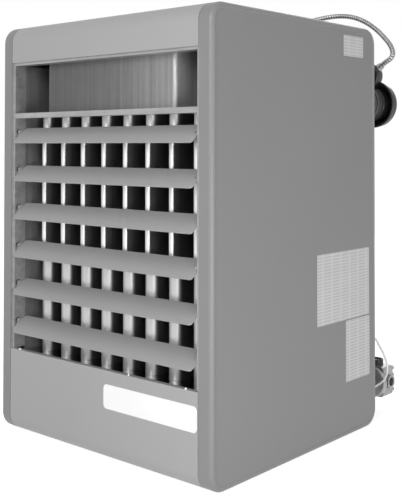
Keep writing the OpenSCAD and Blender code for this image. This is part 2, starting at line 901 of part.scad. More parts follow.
module gas_manifold() {
    arm_x = tube_pitch * 2;
    arm_y = rack_y + fit;
    color([0.3, 0.3, 0.31]) {
        translate([-manifold_hw, manifold_y, manifold_z]) bar_x(manifold_r, 2 * manifold_hw);
        for (i = [0 : tube_n - 1])
            translate([tube_x(i), manifold_y - manifold_r - spud_l, manifold_z])
                bar_y(spud_r, spud_l + manifold_r);
        for (side = [-1, 1])
            block([side * arm_x - manifold_arm_hw, arm_y, manifold_z - manifold_arm_h],
                [side * arm_x + manifold_arm_hw, manifold_y, manifold_z + manifold_arm_h]);
        translate([pipe_x, manifold_y, manifold_z])
            bar_y(manifold_r - manifold_t, valve_mid_y - manifold_y);
        translate([pipe_x, valve_mid_y, manifold_z]) sphere(r = manifold_r);
        translate([pipe_x, valve_mid_y, manifold_z])
            bar_x(manifold_r - manifold_t, valve_x - valve_hw - boss_hw - pipe_x);
    }
}

module gas_valve_body() {
    color([0.7, 0.7, 0.7]) translate([valve_x, valve_y, manifold_z]) difference() {
        union() {
            along_y(valve_d) round_rect(2 * valve_hw, 2 * valve_hh, valve_round);
            for (side = [-1, 1]) translate([side * valve_hw, valve_d / 2, 0])
                rotate([0, side * 90, 0]) cylinder(r = boss_hex_r, h = boss_hw, $fn = 6);
            translate([knob_x - valve_x, valve_d / 2, valve_hh - over])
                cylinder(r = knob_r, h = over + end_play);
            translate([-valve_hw + pilot_nut_in, valve_round, valve_hh - over])
                cylinder(r = pilot_nut_r, h = pilot_nut_h + over, $fn = 6);
        }
        translate([-valve_hw + pilot_nut_in, valve_round, valve_hh])
            cylinder(r = pilot_r + play, h = pilot_nut_h + over);
        translate([valve_hw - boss_hw, valve_d / 2, 0]) bar_x(inlet_r, 2 * boss_hw + over);
        translate([knob_x - valve_x, valve_d / 2, valve_hh - knob_stem_l])
            cylinder(r = knob_stem_r + play, h = knob_stem_l + 2 * over);
    }
}

module gas_valve_cover() {
    color([0.74, 0.74, 0.74])
        translate([valve_x + cover_shift, valve_y - cover_l - fit, manifold_z]) {
            about_y() {
                translate([0, cover_round]) square([cover_r, cover_l - cover_round]);
                square([cover_r - cover_round, cover_l]);
                translate([cover_r - cover_round, cover_round]) circle(cover_round);
            }
            translate([0, -cover_round, 0]) bar_y(cover_boss_r, cover_l);
            for (k = [0 : cover_bolt_n - 1]) rotate([0, 360 * (k + 0.5) / cover_bolt_n, 0])
                translate([cover_r - 2 * cover_round, -screw_head_h, 0])
                    bar_y(screw_head_r - over, cover_l);
        }
}

module gas_valve_knob() {
    color([0.12, 0.12, 0.12]) translate([knob_x, knob_y, manifold_z + valve_hh]) {
        difference() {
            translate([0, 0, 2 * end_play]) cylinder(r = knob_r, h = knob_h);
            for (k = [1 : knob_groove_n]) rotate([0, 0, 360 * k / knob_groove_n])
                translate([knob_r + knob_stem_r / 4, 0, over]) cylinder(r = knob_stem_r / 2, h = knob_h);
        }
        translate([0, 0, -knob_stem_l + 2 * end_play])
            cylinder(r = knob_stem_r, h = knob_stem_l);
        translate([-knob_r + knob_stem_r, -knob_stem_r / 2, knob_h])
            cube([2 * (knob_r - knob_stem_r), knob_stem_r, knob_stem_r]);
    }
}

module pilot_burner() {
    plate_y = rack_y + fit;
    color([0.7, 0.7, 0.7]) difference() {
        union() {
            block([pilot_x - pilot_plate_hw, plate_y, pilot_low_z - pilot_plate_hw],
                [pilot_x + pilot_plate_hw, plate_y + rack_t, pilot_high_z + pilot_plate_hw]);
            for (z = [pilot_low_z, pilot_high_z])
                translate([pilot_x, plate_y, z]) bar_y(pilot_boss_r, pilot_boss_l);
        }
        for (z = [pilot_low_z, pilot_high_z])
            translate([pilot_x, plate_y - over, z]) bar_y(lead_r / 2, pilot_boss_l / 2);
    }
}

// The motor of the propeller, turned about its shaft
module fan_motor() {
    r = fan_motor_r;
    d = motor_round;
    l = fan_motor_l;
    color([0.13, 0.13, 0.13]) translate([0, motor_y, fan_z]) difference() {
        union() {
            about_y() {
                square([r - d, l]);
                translate([0, d]) square([r, l - 2 * d]);
                for (y = [d, l - d]) translate([r - d, y]) circle(d);
            }
            translate([0, -boss_l, 0]) bar_y(boss_r, boss_l);
        }
        translate([0, -boss_l - over, 0]) bar_y(fan_shaft_r + play, motor_bore_l + boss_l + over);
    }
}

module fan_motor_bracket() {
    band_y = motor_y + band_back;
    ring_r = fan_motor_r + fit;
    arm_y = band_y + band_w / 2;
    color([0.2, 0.2, 0.2]) translate([0, 0, fan_z]) {
        translate([0, band_y, 0]) about_y()
            translate([ring_r, 0]) square([band_t, band_w]);
        for (side = [-1, 1], up = [-1, 1]) rotate([0, -up * (90 - side * (90 - arm_angle)), 0]) {
            block([ring_r + band_t / 2, arm_y - band_t, -arm_w / 2], [arm_r, arm_y, arm_w / 2]);
            block([arm_r - band_t, rear_y, -arm_w / 2], [arm_r, arm_y, arm_w / 2]);
            block([arm_r - band_t, rear_y, -arm_w / 2], [arm_r + foot_l, rear_y + band_t, arm_w / 2]);
        }
    }
}

// One ring of the fan guard, of the given radius and place along the axis
module guard_ring(r, y) {
    translate([0, y, 0]) about_y() translate([r, 0]) circle(wire_r, $fn = wire_sides);
}

module fan_guard() {
    face_r = guard_r - guard_bend_r;
    step = (face_r - guard_eye_r) / (guard_ring_n - 1);
    bend_y = guard_y - guard_bend_r;
    color([0.25, 0.25, 0.25]) translate([0, 0, fan_z]) {
        for (k = [0 : guard_ring_n - 1]) guard_ring(guard_eye_r + k * step, guard_y);
        guard_ring(guard_r, rear_y + wire_r);
        guard_ring(guard_r, (rear_y + bend_y) / 2);
        for (k = [0 : guard_spoke_n - 1]) rotate([0, 360 * (k + 0.5) / guard_spoke_n, 0]) {
            translate([guard_eye_r, guard_y, 0]) rotate([0, 90, 0])
                cylinder(r = wire_r, h = face_r - guard_eye_r, $fn = wire_sides);
            translate([guard_r, rear_y, 0]) rotate([-90, 0, 0])
                cylinder(r = wire_r, h = bend_y - rear_y, $fn = wire_sides);
            translate([face_r, bend_y, 0]) rotate_extrude(angle = 90)
                translate([guard_bend_r, 0]) circle(wire_r, $fn = wire_sides);
        }
    }
}

// One propeller blade: a bowed sheet at its pitch, cut to a paddle outline
module fan_blade() {
    deep = 2 * paddle_r;
    intersection() {
        rotate([fan_pitch, 0, 0]) translate([fan_r / 2, 0, 0]) along_x(fan_r) intersection() {
            translate([fan_blade_t / 2 - fan_bow_r, 0]) difference() {
                circle(fan_bow_r, $fn = fine_sides);
                circle(fan_bow_r - fan_blade_t, $fn = fine_sides);
            }
            translate([-deep / 2, -deep]) square([deep, 2 * deep]);
        }
        translate([0, -deep / 2, 0]) along_y(deep) intersection() {
            circle(fan_r, $fn = fine_sides);
            union() {
                translate([fan_r - paddle_r + tip_cut, 0]) circle(paddle_r);
                translate([hub_r / 2, -neck_hw]) square([fan_r - paddle_r, 2 * neck_hw]);
            }
        }
    }
}

module fan_propeller() {
    color([0.6, 0.6, 0.62]) translate([0, fan_y, fan_z]) difference() {
        union() {
            for (k = [0 : fan_blade_n - 1]) rotate([0, 360 * k / fan_blade_n + fan_pitch, 0])
                fan_blade();
            translate([0, -band_t / 2, 0]) bar_y(spider_r, band_t);
            translate([0, -hub_l / 2, 0]) bar_y(hub_r, hub_l);
        }
        translate([0, -hub_l / 2 - over, 0]) bar_y(fan_shaft_r + play, hub_l + 2 * over);
    }
}

module fan_shaft() {
    start_y = fan_y - hub_l / 2 - band_t;
    color([0.75, 0.75, 0.75]) translate([0, start_y, fan_z])
        bar_y(fan_shaft_r, motor_y + motor_bore_l - end_play - start_y);
}

// Outline of the venter housing in (x, z), inset by the wall on the inside
module scroll_outline(inset) {
    reach = vent_x - venter_x;
    circle(scroll_r - inset);
    translate([reach - vent_box_hw + inset, vent_rise - vent_box_hw + inset])
        square(2 * (vent_box_hw - inset));
    translate([reach + vent_box_hw - 2 * inset - over, inset])
        square([-reach - vent_box_hw + 2 * inset + over, scroll_r - 2 * inset]);
}

module venter_housing() {
    spigot_y = collector_end_y - sheet_t;
    color([0.1, 0.1, 0.1]) translate([venter_x, 0, venter_z]) {
        difference() {
            translate([0, scroll_y, 0]) along_y(scroll_d) scroll_outline(0);
            translate([0, scroll_y + scroll_t, 0]) along_y(scroll_d - 2 * scroll_t)
                scroll_outline(scroll_t);
            translate([0, scroll_y - over, 0]) bar_y(inlet_eye_r - scroll_t, scroll_t + 2 * over);
            translate([0, scroll_end_y - scroll_t - over, 0])
                bar_y(2 * venter_shaft_r, scroll_t + 2 * over);
            translate([vent_x - venter_x, scroll_end_y - scroll_t - over, vent_rise])
                bar_y(vent_r - scroll_t, scroll_t + 2 * over);
        }
        translate([0, spigot_y, 0]) about_y()
            translate([inlet_eye_r - scroll_t, 0]) square([scroll_t, scroll_y - spigot_y + scroll_t / 2]);
        for (k = [0 : 3]) rotate([0, 45 + 90 * k, 0])
            translate([scroll_r - 2 * post_r, rear_y, 0]) bar_y(post_r, gasket_t + scroll_t / 2);
        for (z = [-1, 1]) translate([vent_x - venter_x - vent_box_hw / 2, rear_y, z * vent_box_hw / 2])
            bar_y(post_r, gasket_t + scroll_t / 2);
        translate([-tap_in, rear_y + tap_out, scroll_r - scroll_t / 2])
            cylinder(r = hose_r + scroll_t / 2, h = tap_h + scroll_t / 2);
    }
}

module vent_collar() {
    color([0.7, 0.7, 0.71]) translate([vent_x, scroll_end_y, vent_z]) about_y() {
        translate([vent_r - scroll_t, 0]) square([scroll_t, vent_l]);
        translate([vent_r - scroll_t, 0]) square([vent_flange_w + scroll_t, scroll_t]);
    }
}

module venter_wheel() {
    color([0.65, 0.65, 0.66]) translate([venter_x, scroll_y + scroll_t + wheel_back, venter_z])
        difference() {
            union() {
                translate([0, wheel_w - wheel_t, 0]) bar_y(wheel_r, wheel_t);
                about_y() translate([wheel_r - blade_l, 0]) square([blade_l, wheel_t]);
                for (k = [0 : wheel_blade_n - 1]) rotate([0, 360 * k / wheel_blade_n, 0])
                    translate([wheel_r - blade_l, 0, -wheel_t / 2])
                        cube([blade_l - wheel_t, wheel_w, wheel_t]);
                translate([0, wheel_w / 2, 0]) bar_y(3 * venter_shaft_r, wheel_w / 2);
            }
            translate([0, -over, 0]) bar_y(venter_shaft_r + play, wheel_w + 2 * over);
        }
}

module venter_shaft() {
    start_y = scroll_y + scroll_t + wheel_back + wheel_w / 3;
    color([0.75, 0.75, 0.75]) translate([venter_x, start_y, venter_z])
        bar_y(venter_shaft_r, can_y + can_bore_l - end_play - start_y);
}

module venter_motor() {
    color([0.12, 0.12, 0.12]) translate([venter_x, can_y, venter_z]) difference() {
        union() {
            about_y() {
                square([can_r - motor_round, can_l]);
                translate([0, motor_round]) square([can_r, can_l - motor_round]);
                translate([can_r - motor_round, motor_round]) circle(motor_round);
            }
            for (k = [0 : 2]) rotate([0, 120 * k + 30, 0])
                translate([post_at, -can_gap, 0]) bar_y(post_r, can_gap + over);
        }
        translate([0, -over, 0]) bar_y(venter_shaft_r + play, can_bore_l + over);
    }
}

module venter_shroud() {
    r = shroud_r;
    k = shroud_rim_r;
    t = shroud_t;
    wall_y = -shroud_l;
    color([0.1, 0.1, 0.1]) translate([venter_x, can_y + can_l + fit, venter_z]) about_y() {
        square([r - k, t]);
        intersection() {
            translate([r - k, t - k]) difference() {
                circle(k);
                circle(k - t);
            }
            translate([r - k, t - k]) square(k);
        }
        translate([r - t, wall_y]) square([t, shroud_l + t - k]);
        translate([r - t / 2, wall_y]) circle(shroud_lip_r);
    }
}

module venter_terminal_housing() {
    color([0.1, 0.1, 0.1]) difference() {
        translate([venter_x, dome_y, venter_z + dome_lift]) about_y() {
            square([dome_r - dome_round, dome_l]);
            translate([0, dome_round]) square([dome_r, dome_l - 2 * dome_round]);
            for (y = [dome_round, dome_l - dome_round])
                translate([dome_r - dome_round, y]) circle(dome_round);
        }
        translate([venter_x, can_y, venter_z]) bar_y(can_r + fit, can_l);
    }
}

module junction_box() {
    color([0.72, 0.72, 0.72]) translate([box_x, rear_y, box_z]) difference() {
        block([-box_hw, 0, -box_hh], [box_hw, box_d, box_hh]);
        block([-box_hw + box_t, box_t, -box_hh + box_t], [box_hw - box_t, box_d + over, box_hh - box_t]);
        translate([connector_x - box_x, connector_y - rear_y, box_hh - box_t - over])
            cylinder(r = conduit_r, h = box_t + 2 * over);
    }
}

module junction_box_cover() {
    w = box_hw + box_lid_t + fit;
    h = box_hh + box_lid_t + fit;
    color([0.72, 0.72, 0.72]) translate([box_x, rear_y + box_d + fit, box_z]) difference() {
        block([-w, -box_lid_lip, -h], [w, box_lid_t, h]);
        block([-box_hw - fit, -box_lid_lip - over, -box_hh - fit], [box_hw + fit, 0, box_hh + fit]);
    }
}

// A conduit connector standing up from z = 0
module connector(h) {
    difference() {
        union() {
            cylinder(r = connector_flange_r, h = connector_flange_h, $fn = 6);
            cylinder(r = connector_r, h = h);
        }
        translate([0, 0, -over]) cylinder(r = conduit_r - conduit_wall, h = h + 2 * over);
    }
}

module conduit_connectors() {
    color([0.75, 0.75, 0.75]) {
        translate([connector_x, connector_y, box_z + box_hh]) connector(connector_h);
        translate([venter_x, dome_y + dome_l / 2, venter_z + dome_lift])
            rotate([0, 90 - dome_angle, 0]) translate([0, 0, dome_r]) connector(dome_reach - dome_r);
    }
}

module ignition_control() {
    color([0.16, 0.16, 0.17]) translate([control_x, rear_y, control_z]) difference() {
        union() {
            along_y(control_d) round_rect(2 * control_hw, 2 * control_hh, box_lid_lip / 2);
            along_y(rack_t) round_rect(2 * control_hw + box_lid_lip, 2 * control_hh - box_lid_lip, rack_t);
            translate([control_hw - over, tower_out, -tower_drop]) bar_x(tower_r, tower_l + over);
        }
        translate([control_hw, tower_out, -tower_drop]) bar_x(lead_r + play, tower_l + over);
        for (k = [1 : control_rib_n]) {
            x = control_hw * (2 * k / (control_rib_n + 1) - 1);
            translate([x - rack_t / 2, control_d - rack_t, -2 * control_hh / 3])
                cube([rack_t, rack_t + over, control_hh]);
        }
    }
}

module transformer() {
    color([0.3, 0.3, 0.3]) translate([transformer_x, rear_y, transformer_z]) {
        block([-transformer_hw, 0, -transformer_hh], [transformer_hw, rack_t, transformer_hh]);
        block([-transformer_core_hw, 0, -transformer_hh + transformer_foot],
            [transformer_core_hw, transformer_d, transformer_hh - transformer_foot]);
        block([-transformer_core_hw + transformer_foot, rack_t, -transformer_hh],
            [transformer_core_hw - transformer_foot, transformer_d - transformer_foot, transformer_hh]);
    }
}

module pressure_switch() {
    color([0.2, 0.2, 0.21]) translate([switch_x, rear_y, box_z]) {
        about_y() {
            square([switch_r, switch_d / 3]);
            square([switch_r - switch_step, 2 * switch_d / 3]);
            square([switch_r / 2, switch_d]);
        }
        translate([0, switch_port_out, 0]) cylinder(r = switch_port_r, h = switch_r + switch_port_h);
    }
}

module high_limit_switch() {
    color([0.7, 0.7, 0.7]) translate([limit_x, rear_y, limit_z]) {
        along_y(box_t) round_rect(2 * limit_hw, 2 * limit_hh, rack_t);
        bar_y(limit_r, limit_d);
        for (side = [-1, 1])
            translate([side * limit_r / 2 - box_t / 2, limit_d - over, -limit_r / 2])
                cube([box_t, limit_r, limit_r]);
    }
}

// A small hex head screw standing out of z = 0
module jacket_screw() {
    cylinder(r = screw_head_r, h = screw_head_h / 3);
    cylinder(r = screw_head_r - over, h = screw_head_h, $fn = 6);
    translate([0, 0, -screw_l]) cylinder(r = screw_r, h = screw_l + over / 2);
}

module jacket_screws() {
    color([0.7, 0.7, 0.7]) screw_places() jacket_screw();
}

module hanger_nuts() {
    nut_r = 2 * hang_r;
    nut_h = 2 * hang_r;
    color([0.5, 0.5, 0.5]) hanger_places() translate([0, 0, -nut_h]) difference() {
        union() {
            cylinder(r = nut_r, h = nut_h, $fn = 6);
            translate([0, 0, nut_h - sheet_t]) cylinder(r = nut_r + over, h = sheet_t);
        }
        translate([0, 0, -over]) cylinder(r = hang_r, h = nut_h + 2 * over);
    }
}

module louver_washers() {
    color([0.12, 0.12, 0.12]) for (i = [0 : louver_n - 1], side = [-1, 1])
        translate([side * (open_hw - fit), pivot_y, pivot_z(i)]) rotate([0, -side * 90, 0])
            difference() {
                cylinder(r = washer_r, h = blade_end_gap - 2 * fit);
                translate([0, 0, -over]) cylinder(r = pivot_r + play, h = blade_end_gap + over);
            }
}

// A blade with its edges level: pivots at the origin, front edge towards -y
module blade_solid() {
    mid_y = (blade_back - blade_front) / 2;
    arc_z = blade_bow - pivot_lift - blade_arc_r;
    intersection() {
        union() {
            along_x(2 * blade_hw) intersection() {
                translate([mid_y, arc_z]) difference() {
                    circle(blade_arc_r, $fn = fine_sides);
                    circle(blade_arc_r - blade_t, $fn = fine_sides);
                }
                translate([-blade_front - over, -pivot_lift - blade_front]) square(2 * blade_front);
            }
            along_x(2 * blade_hw) intersection() {
                translate([mid_y, arc_z]) difference() {
                    circle(blade_arc_r - blade_t / 2, $fn = fine_sides);
                    circle(blade_arc_r - 2 * blade_t, $fn = fine_sides);
                }
                translate([-blade_front - over, -pivot_lift - blade_front])
                    square([hem_w + over, 2 * blade_front]);
            }
        }
        translate([0, 0, -blade_front]) linear_extrude(2 * blade_front) union() {
            for (side = [-1, 1])
                translate([side * (blade_hw - blade_corner_r), blade_corner_r - blade_front])
                    circle(blade_corner_r);
            translate([blade_corner_r - blade_hw, -blade_front])
                square([2 * (blade_hw - blade_corner_r), blade_chord]);
            translate([-blade_hw, blade_corner_r - blade_front])
                square([2 * blade_hw, blade_chord - blade_corner_r]);
        }
    }
}

// The ear at a blade's right end, with its rivet through the outlet frame
module blade_ear() {
    head_x = open_hw + sheet_t + end_play;
    translate([blade_hw - blade_t, 0, 0]) {
        bar_x(ear_r, blade_t);
        translate([0, -ear_hw, -pivot_lift + blade_t]) cube([blade_t, 2 * ear_hw, pivot_lift - blade_t]);
    }
    translate([blade_hw - blade_t - rivet_head_h, 0, 0])
        bar_x(pivot_r, head_x + rivet_head_h / 2 - blade_hw + blade_t + rivet_head_h);
    translate([head_x, 0, 0]) bar_x(rivet_head_r, rivet_head_h);
}

module louver(i) {
    tilt = i < louver_n - lower_set_n ? upper_tilt : lower_tilt;
    color([0.6, 0.6, 0.6]) translate([0, pivot_y, pivot_z(i)]) rotate([tilt, 0, 0]) difference() {
        union() {
            blade_solid();
            blade_ear();
            mirror([1, 0, 0]) blade_ear();
        }
        translate([blade_hw - blade_hole_in, (blade_back - blade_front) / 2, -pivot_lift - over])
            cylinder(r = blade_hole_r, h = pivot_lift + 2 * over);
    }
}

function pivot_z(i) = outlet_top_z - top_drop - i * louver_pitch;
function tube_x(i) = (i - (tube_n - 1) / 2) * tube_pitch;

function unit(v) = v / norm(v);

// A point on a smooth line through the points p, a share s of the way from p[i] to p[i + 1]
function between(p, i, s) = let (
        a = p[max(i - 1, 0)], b = p[i], c = p[i + 1], d = p[min(i + 2, len(p) - 1)]
    )
    b + s * (c - a) / 2 + s * s * (a - 2.5 * b + 2 * c - d / 2)
        + s * s * s * (3 * b - 3 * c + d - a) / 2;

function smooth(p) = concat(
    [for (i = [0 : len(p) - 2], k = [0 : route_steps - 1]) between(p, i, k / route_steps)],
    [p[len(p) - 1]]
);

// Distance along the line q at each of its points
function run_at(q) = [
    for (i = 0, s = 0; i < len(q); s = i + 1 < len(q) ? s + norm(q[i + 1] - q[i]) : s, i = i + 1) s
];

// The point at distance s along the line q
function spot(q, run, s, i = 0) = i >= len(q) - 2 || run[i + 1] >= s
    ? q[i] + (q[i + 1] - q[i]) * (s - run[i]) / (run[i + 1] - run[i])
    : spot(q, run, s, i + 1);

// A ring of points round the line at distance s
function ring_at(q, run, s, r) = let (
        total = run[len(run) - 1],
        step = conduit_pitch / 4,
        ahead = spot(q, run, min(s + step, total)),
        behind = spot(q, run, max(s - step, 0)),
        along = unit(ahead - behind),
        side = unit(cross(along, [0, 1, 0])),
        up = cross(side, along),
        mid = spot(q, run, s)
    )
    [for (k = [0 : cord_sides - 1])
        let (a = 360 * (k + 0.5) / cord_sides) mid + r * (cos(a) * side + sin(a) * up)];

// Skin over rings of points, closed at both ends by caps or joined end to start
module skin(rings, joined) {
    n = len(rings);
    m = len(rings[0]);
    last = (n - 1) * m;
    walls = [
        for (i = [0 : joined ? n - 1 : n - 2], k = [0 : m - 1])
            let (j = (i + 1) % n, l = (k + 1) % m)
                each [[i * m + k, j * m + k, i * m + l], [i * m + l, j * m + k, j * m + l]]
    ];
    caps = joined ? [] : [
        for (k = [1 : m - 2]) each [[0, k, k + 1], [last, last + k + 1, last + k]]
    ];
    polyhedron([for (ring = rings) each ring], concat(walls, caps));
}

// A plain round cord along a route, with a ring every few radii
module cord(route, r) {
    q = smooth(route);
    run = run_at(q);
    total = run[len(run) - 1];
    n = max(4, floor(total / (4 * r)));
    skin([for (i = [0 : n]) ring_at(q, run, total * i / n, r)], false);
}

// A ribbed hose along a route: crests and valleys outside, a plain bore inside
module ribbed_hose(route, r, pitch) {
    q = smooth(route);
    run = run_at(q);
    total = run[len(run) - 1];
    plain = 2 * r;
    n = floor((total - 2 * plain) / pitch);
    rib = (total - 2 * plain) / n;
    valley_r = r - rib_h;
    bore_r = r - conduit_wall;
    m = floor(n / 2);
    outer = [
        ring_at(q, run, 0, valley_r),
        for (i = [0 : n - 1]) each [
            ring_at(q, run, plain + rib * i, valley_r), ring_at(q, run, plain + rib * (i + 0.5), r)
        ],
        ring_at(q, run, total - plain, valley_r),
        ring_at(q, run, total, valley_r)
    ];
    bore = [for (i = [m : -1 : 0]) ring_at(q, run, total * i / m, bore_r)];
    skin(concat(outer, bore), true);
}

module armoured_conduit() {
    color([0.55, 0.55, 0.56]) ribbed_hose(CONDUIT_ROUTE, conduit_r, conduit_pitch);
}

module ignition_lead() {
    color([0.88, 0.88, 0.88]) cord(LEAD_ROUTE, lead_r);
}

module pressure_hose() {
    color([0.15, 0.15, 0.15]) cord(HOSE_ROUTE, hose_r);
}

module pilot_tube() {
    color([0.75, 0.75, 0.76]) cord(PILOT_ROUTE, pilot_r);
}

left_side_panel();
right_side_panel();
top_panel();
lower_front_panel();
bottom_panel();
rear_panel();
outlet_frame();
left_baffle();
right_baffle();
flue_collector_box();
upper_tube_sheet();
lower_tube_sheet();
heat_exchanger_tube(0);  // heat_exchanger_tube_1
heat_exchanger_tube(1);  // heat_exchanger_tube_2
heat_exchanger_tube(2);  // heat_exchanger_tube_3
heat_exchanger_tube(3);  // heat_exchanger_tube_4
heat_exchanger_tube(4);  // heat_exchanger_tube_5
heat_exchanger_tube(5);  // heat_exchanger_tube_6
heat_exchanger_tube(6);  // heat_exchanger_tube_7
heat_exchanger_tube(7);  // heat_exchanger_tube_8
burner_rack();
burner_set();
gas_manifold();
gas_valve_body();
gas_valve_cover();
gas_valve_knob();
pilot_burner();
pilot_tube();
fan_motor();
fan_motor_bracket();
fan_guard();
fan_propeller();
fan_shaft();
venter_housing();
venter_wheel();
venter_shaft();
venter_motor();
venter_shroud();
venter_terminal_housing();
vent_collar();
junction_box();
junction_box_cover();
armoured_conduit();
conduit_connectors();
ignition_control();
transformer();
pressure_switch();
pressure_hose();
high_limit_switch();
ignition_lead();
louver_washers();
jacket_screws();
hanger_nuts();
louver(0);  // louver_1
louver(1);  // louver_2
louver(2);  // louver_3
louver(3);  // louver_4
louver(4);  // louver_5
louver(5);  // louver_6
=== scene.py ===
import json
import math

import bmesh
import bpy
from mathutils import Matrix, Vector


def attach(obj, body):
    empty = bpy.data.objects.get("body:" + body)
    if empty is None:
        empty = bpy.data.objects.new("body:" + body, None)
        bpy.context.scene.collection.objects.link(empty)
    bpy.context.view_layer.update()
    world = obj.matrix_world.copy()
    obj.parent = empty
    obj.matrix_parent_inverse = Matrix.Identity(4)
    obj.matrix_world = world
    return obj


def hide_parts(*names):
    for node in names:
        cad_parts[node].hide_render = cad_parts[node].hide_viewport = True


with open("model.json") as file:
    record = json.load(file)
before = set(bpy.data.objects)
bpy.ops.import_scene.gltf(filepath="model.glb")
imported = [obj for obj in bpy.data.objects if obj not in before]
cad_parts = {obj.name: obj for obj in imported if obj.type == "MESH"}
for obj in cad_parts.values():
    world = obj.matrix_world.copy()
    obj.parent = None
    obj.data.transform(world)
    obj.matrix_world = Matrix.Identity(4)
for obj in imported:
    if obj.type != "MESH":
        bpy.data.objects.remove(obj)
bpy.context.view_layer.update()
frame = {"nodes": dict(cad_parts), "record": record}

nodes = frame["nodes"]
mm = 0.001
weldGap = 0.001 * mm  # corners nearer than this become one
print("frame loaded with", len(nodes), "nodes")


def newObject(name, data):
    made = bpy.data.objects.new(name, data)
    bpy.context.scene.collection.objects.link(made)
    return made


# the camera, fitted to the cabinet's corners in the photograph
studioCamera = {
    "place": (1.41033, -1.48133, 0.63858),
    "turn": (91.18, 0.0, 39.10),  # degrees: almost level, from the front and the right
    "lens": 64.469,
    "sensor": 36,
    "shiftX": -0.12048,
    "shiftY": -0.24251,
}


def makeCamera(p):
    data = bpy.data.cameras.new("studioCamera")
    data.lens, data.sensor_width = p["lens"], p["sensor"]
    data.shift_x, data.shift_y = p["shiftX"], p["shiftY"]
    camera = newObject("studioCamera", data)
    camera.location = p["place"]
    camera.rotation_euler = [math.radians(a) for a in p["turn"]]
    bpy.context.scene.camera = camera


makeCamera(studioCamera)


# small helpers for meshes
def ease(share):  # a smooth step from 0 to 1
    return share * share * (3 - 2 * share)


def shadeRound(mesh, sharpAbove):  # edges above this angle in degrees stay sharp
    mesh.polygons.foreach_set("use_smooth", [True] * len(mesh.polygons))
    mesh.set_sharp_from_angle(angle=math.radians(sharpAbove))


def fromBmesh(name, bm, sharpAbove):
    bmesh.ops.remove_doubles(bm, verts=bm.verts, dist=weldGap)
    bmesh.ops.recalc_face_normals(bm, faces=bm.faces)
    mesh = bpy.data.meshes.new(name)
    bm.to_mesh(mesh)
    bm.free()
    shadeRound(mesh, sharpAbove)
    return newObject(name, mesh)


def smoothRoute(points, steps=14):  # the line that the CAD source draws through the same points
    pts = [Vector(p) * mm for p in points]
    line = []
    for i in range(len(pts) - 1):
        a, b, c, d = pts[max(i - 1, 0)], pts[i], pts[i + 1], pts[min(i + 2, len(pts) - 1)]
        for k in range(steps):
            s = k / steps
            line.append(
                b + s * (c - a) / 2 + s * s * (a - 2.5 * b + 2 * c - d / 2)
                + s**3 * (3 * b - 3 * c + d - a) / 2
            )
    return line + [pts[-1]]


def evenSpots(line, count):  # points at even distances with both ends, and the line's length
    runs = [0.0]
    for a, b in zip(line, line[1:]):
        runs.append(runs[-1] + (b - a).length)
    spots, j = [], 0
    for i in range(count + 1):
        s = runs[-1] * i / count
        while j < len(runs) - 2 and runs[j + 1] < s:
            j += 1
        share = (s - runs[j]) / max(runs[j + 1] - runs[j], weldGap)
        spots.append(line[j].lerp(line[j + 1], share))
    return spots, runs[-1]


def framesAlong(spots):  # (point, side, up) carried along the line without twist
    frames, side = [], None
    for i, p in enumerate(spots):
        ahead = (spots[min(i + 1, len(spots) - 1)] - spots[max(i - 1, 0)]).normalized()
        if side is None:
            side = ahead.orthogonal().normalized()
        side = (side - ahead * side.dot(ahead)).normalized()
        frames.append((p, side, ahead.cross(side)))
    return frames


def joinRings(bm, rings, capped=True):  # walls between neighbouring rings, and a cap at each end
    for low, high in zip(rings, rings[1:]):
        for k in range(len(low)):
            j = (k + 1) % len(low)
            bm.faces.new((low[k], low[j], high[j], high[k]))
    if capped:
        bm.faces.new(reversed(rings[0]))
        bm.faces.new(rings[-1])


def sweep(bm, frames, sides, radiusAt):  # radiusAt(ring, side share) gives each corner's radius
    rings = []
    for i, (p, side, up) in enumerate(frames):
        ring = []
        for k in range(sides):
            a = 2 * math.pi * k / sides
            r = radiusAt(i, k / sides)
            ring.append(bm.verts.new(p + side * (r * math.cos(a)) + up * (r * math.sin(a))))
        rings.append(ring)
    joinRings(bm, rings)
    return rings


def give(piece, material, body, stands=()):  # finish, body and CAD nodes of a new piece
    piece.data.materials.clear()
    piece.data.materials.append(material)
    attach(piece, body)
    if stands:
        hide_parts(*stands)


# small helpers for node trees
def addNode(tree, kind, **settings):
    node = tree.nodes.new(kind)
    for key, value in settings.items():
        if key in node.inputs:
            node.inputs[key].default_value = value
        else:
            setattr(node, key, value)
    return node


def mathNode(tree, operation, a, b=None, clamp=False):
    node = tree.nodes.new("ShaderNodeMath")
    node.operation, node.use_clamp = operation, clamp
    for k, value in enumerate((a, b)):
        if isinstance(value, (int, float)):
            node.inputs[k].default_value = value
        elif value is not None:
            tree.links.new(value, node.inputs[k])
    return node.outputs[0]


def times(tree, a, b):
    return mathNode(tree, "MULTIPLY", a, b)


def plus(tree, a, b):
    return mathNode(tree, "ADD", a, b)


def remap(tree, value, low, high, toLow=0.0, toHigh=1.0):
    node = tree.nodes.new("ShaderNodeMapRange")
    tree.links.new(value, node.inputs["Value"])
    for label, amount in (("From Min", low), ("From Max", high), ("To Min", toLow), ("To Max", toHigh)):
        node.inputs[label].default_value = amount
    return node.outputs["Result"]


def objectPlace(tree):
    return tree.nodes.new("ShaderNodeTexCoord").outputs["Object"]


def axesOf(tree, vector):
    parts = tree.nodes.new("ShaderNodeSeparateXYZ")
    tree.links.new(vector, parts.inputs[0])
    return parts.outputs


# shader groups that several finishes share
noiseSpan = (0.3, 0.7)  # nearly all values of a noise lie between these
rubAndHighlightSpan = {"flat": 0.985, "edge": 0.86, "patches": (0.38, 0.62)}  # cosines of rounded against true normal
dustSpan = {"slope": (0.55, 1.0), "patches": (0.3, 0.75)}


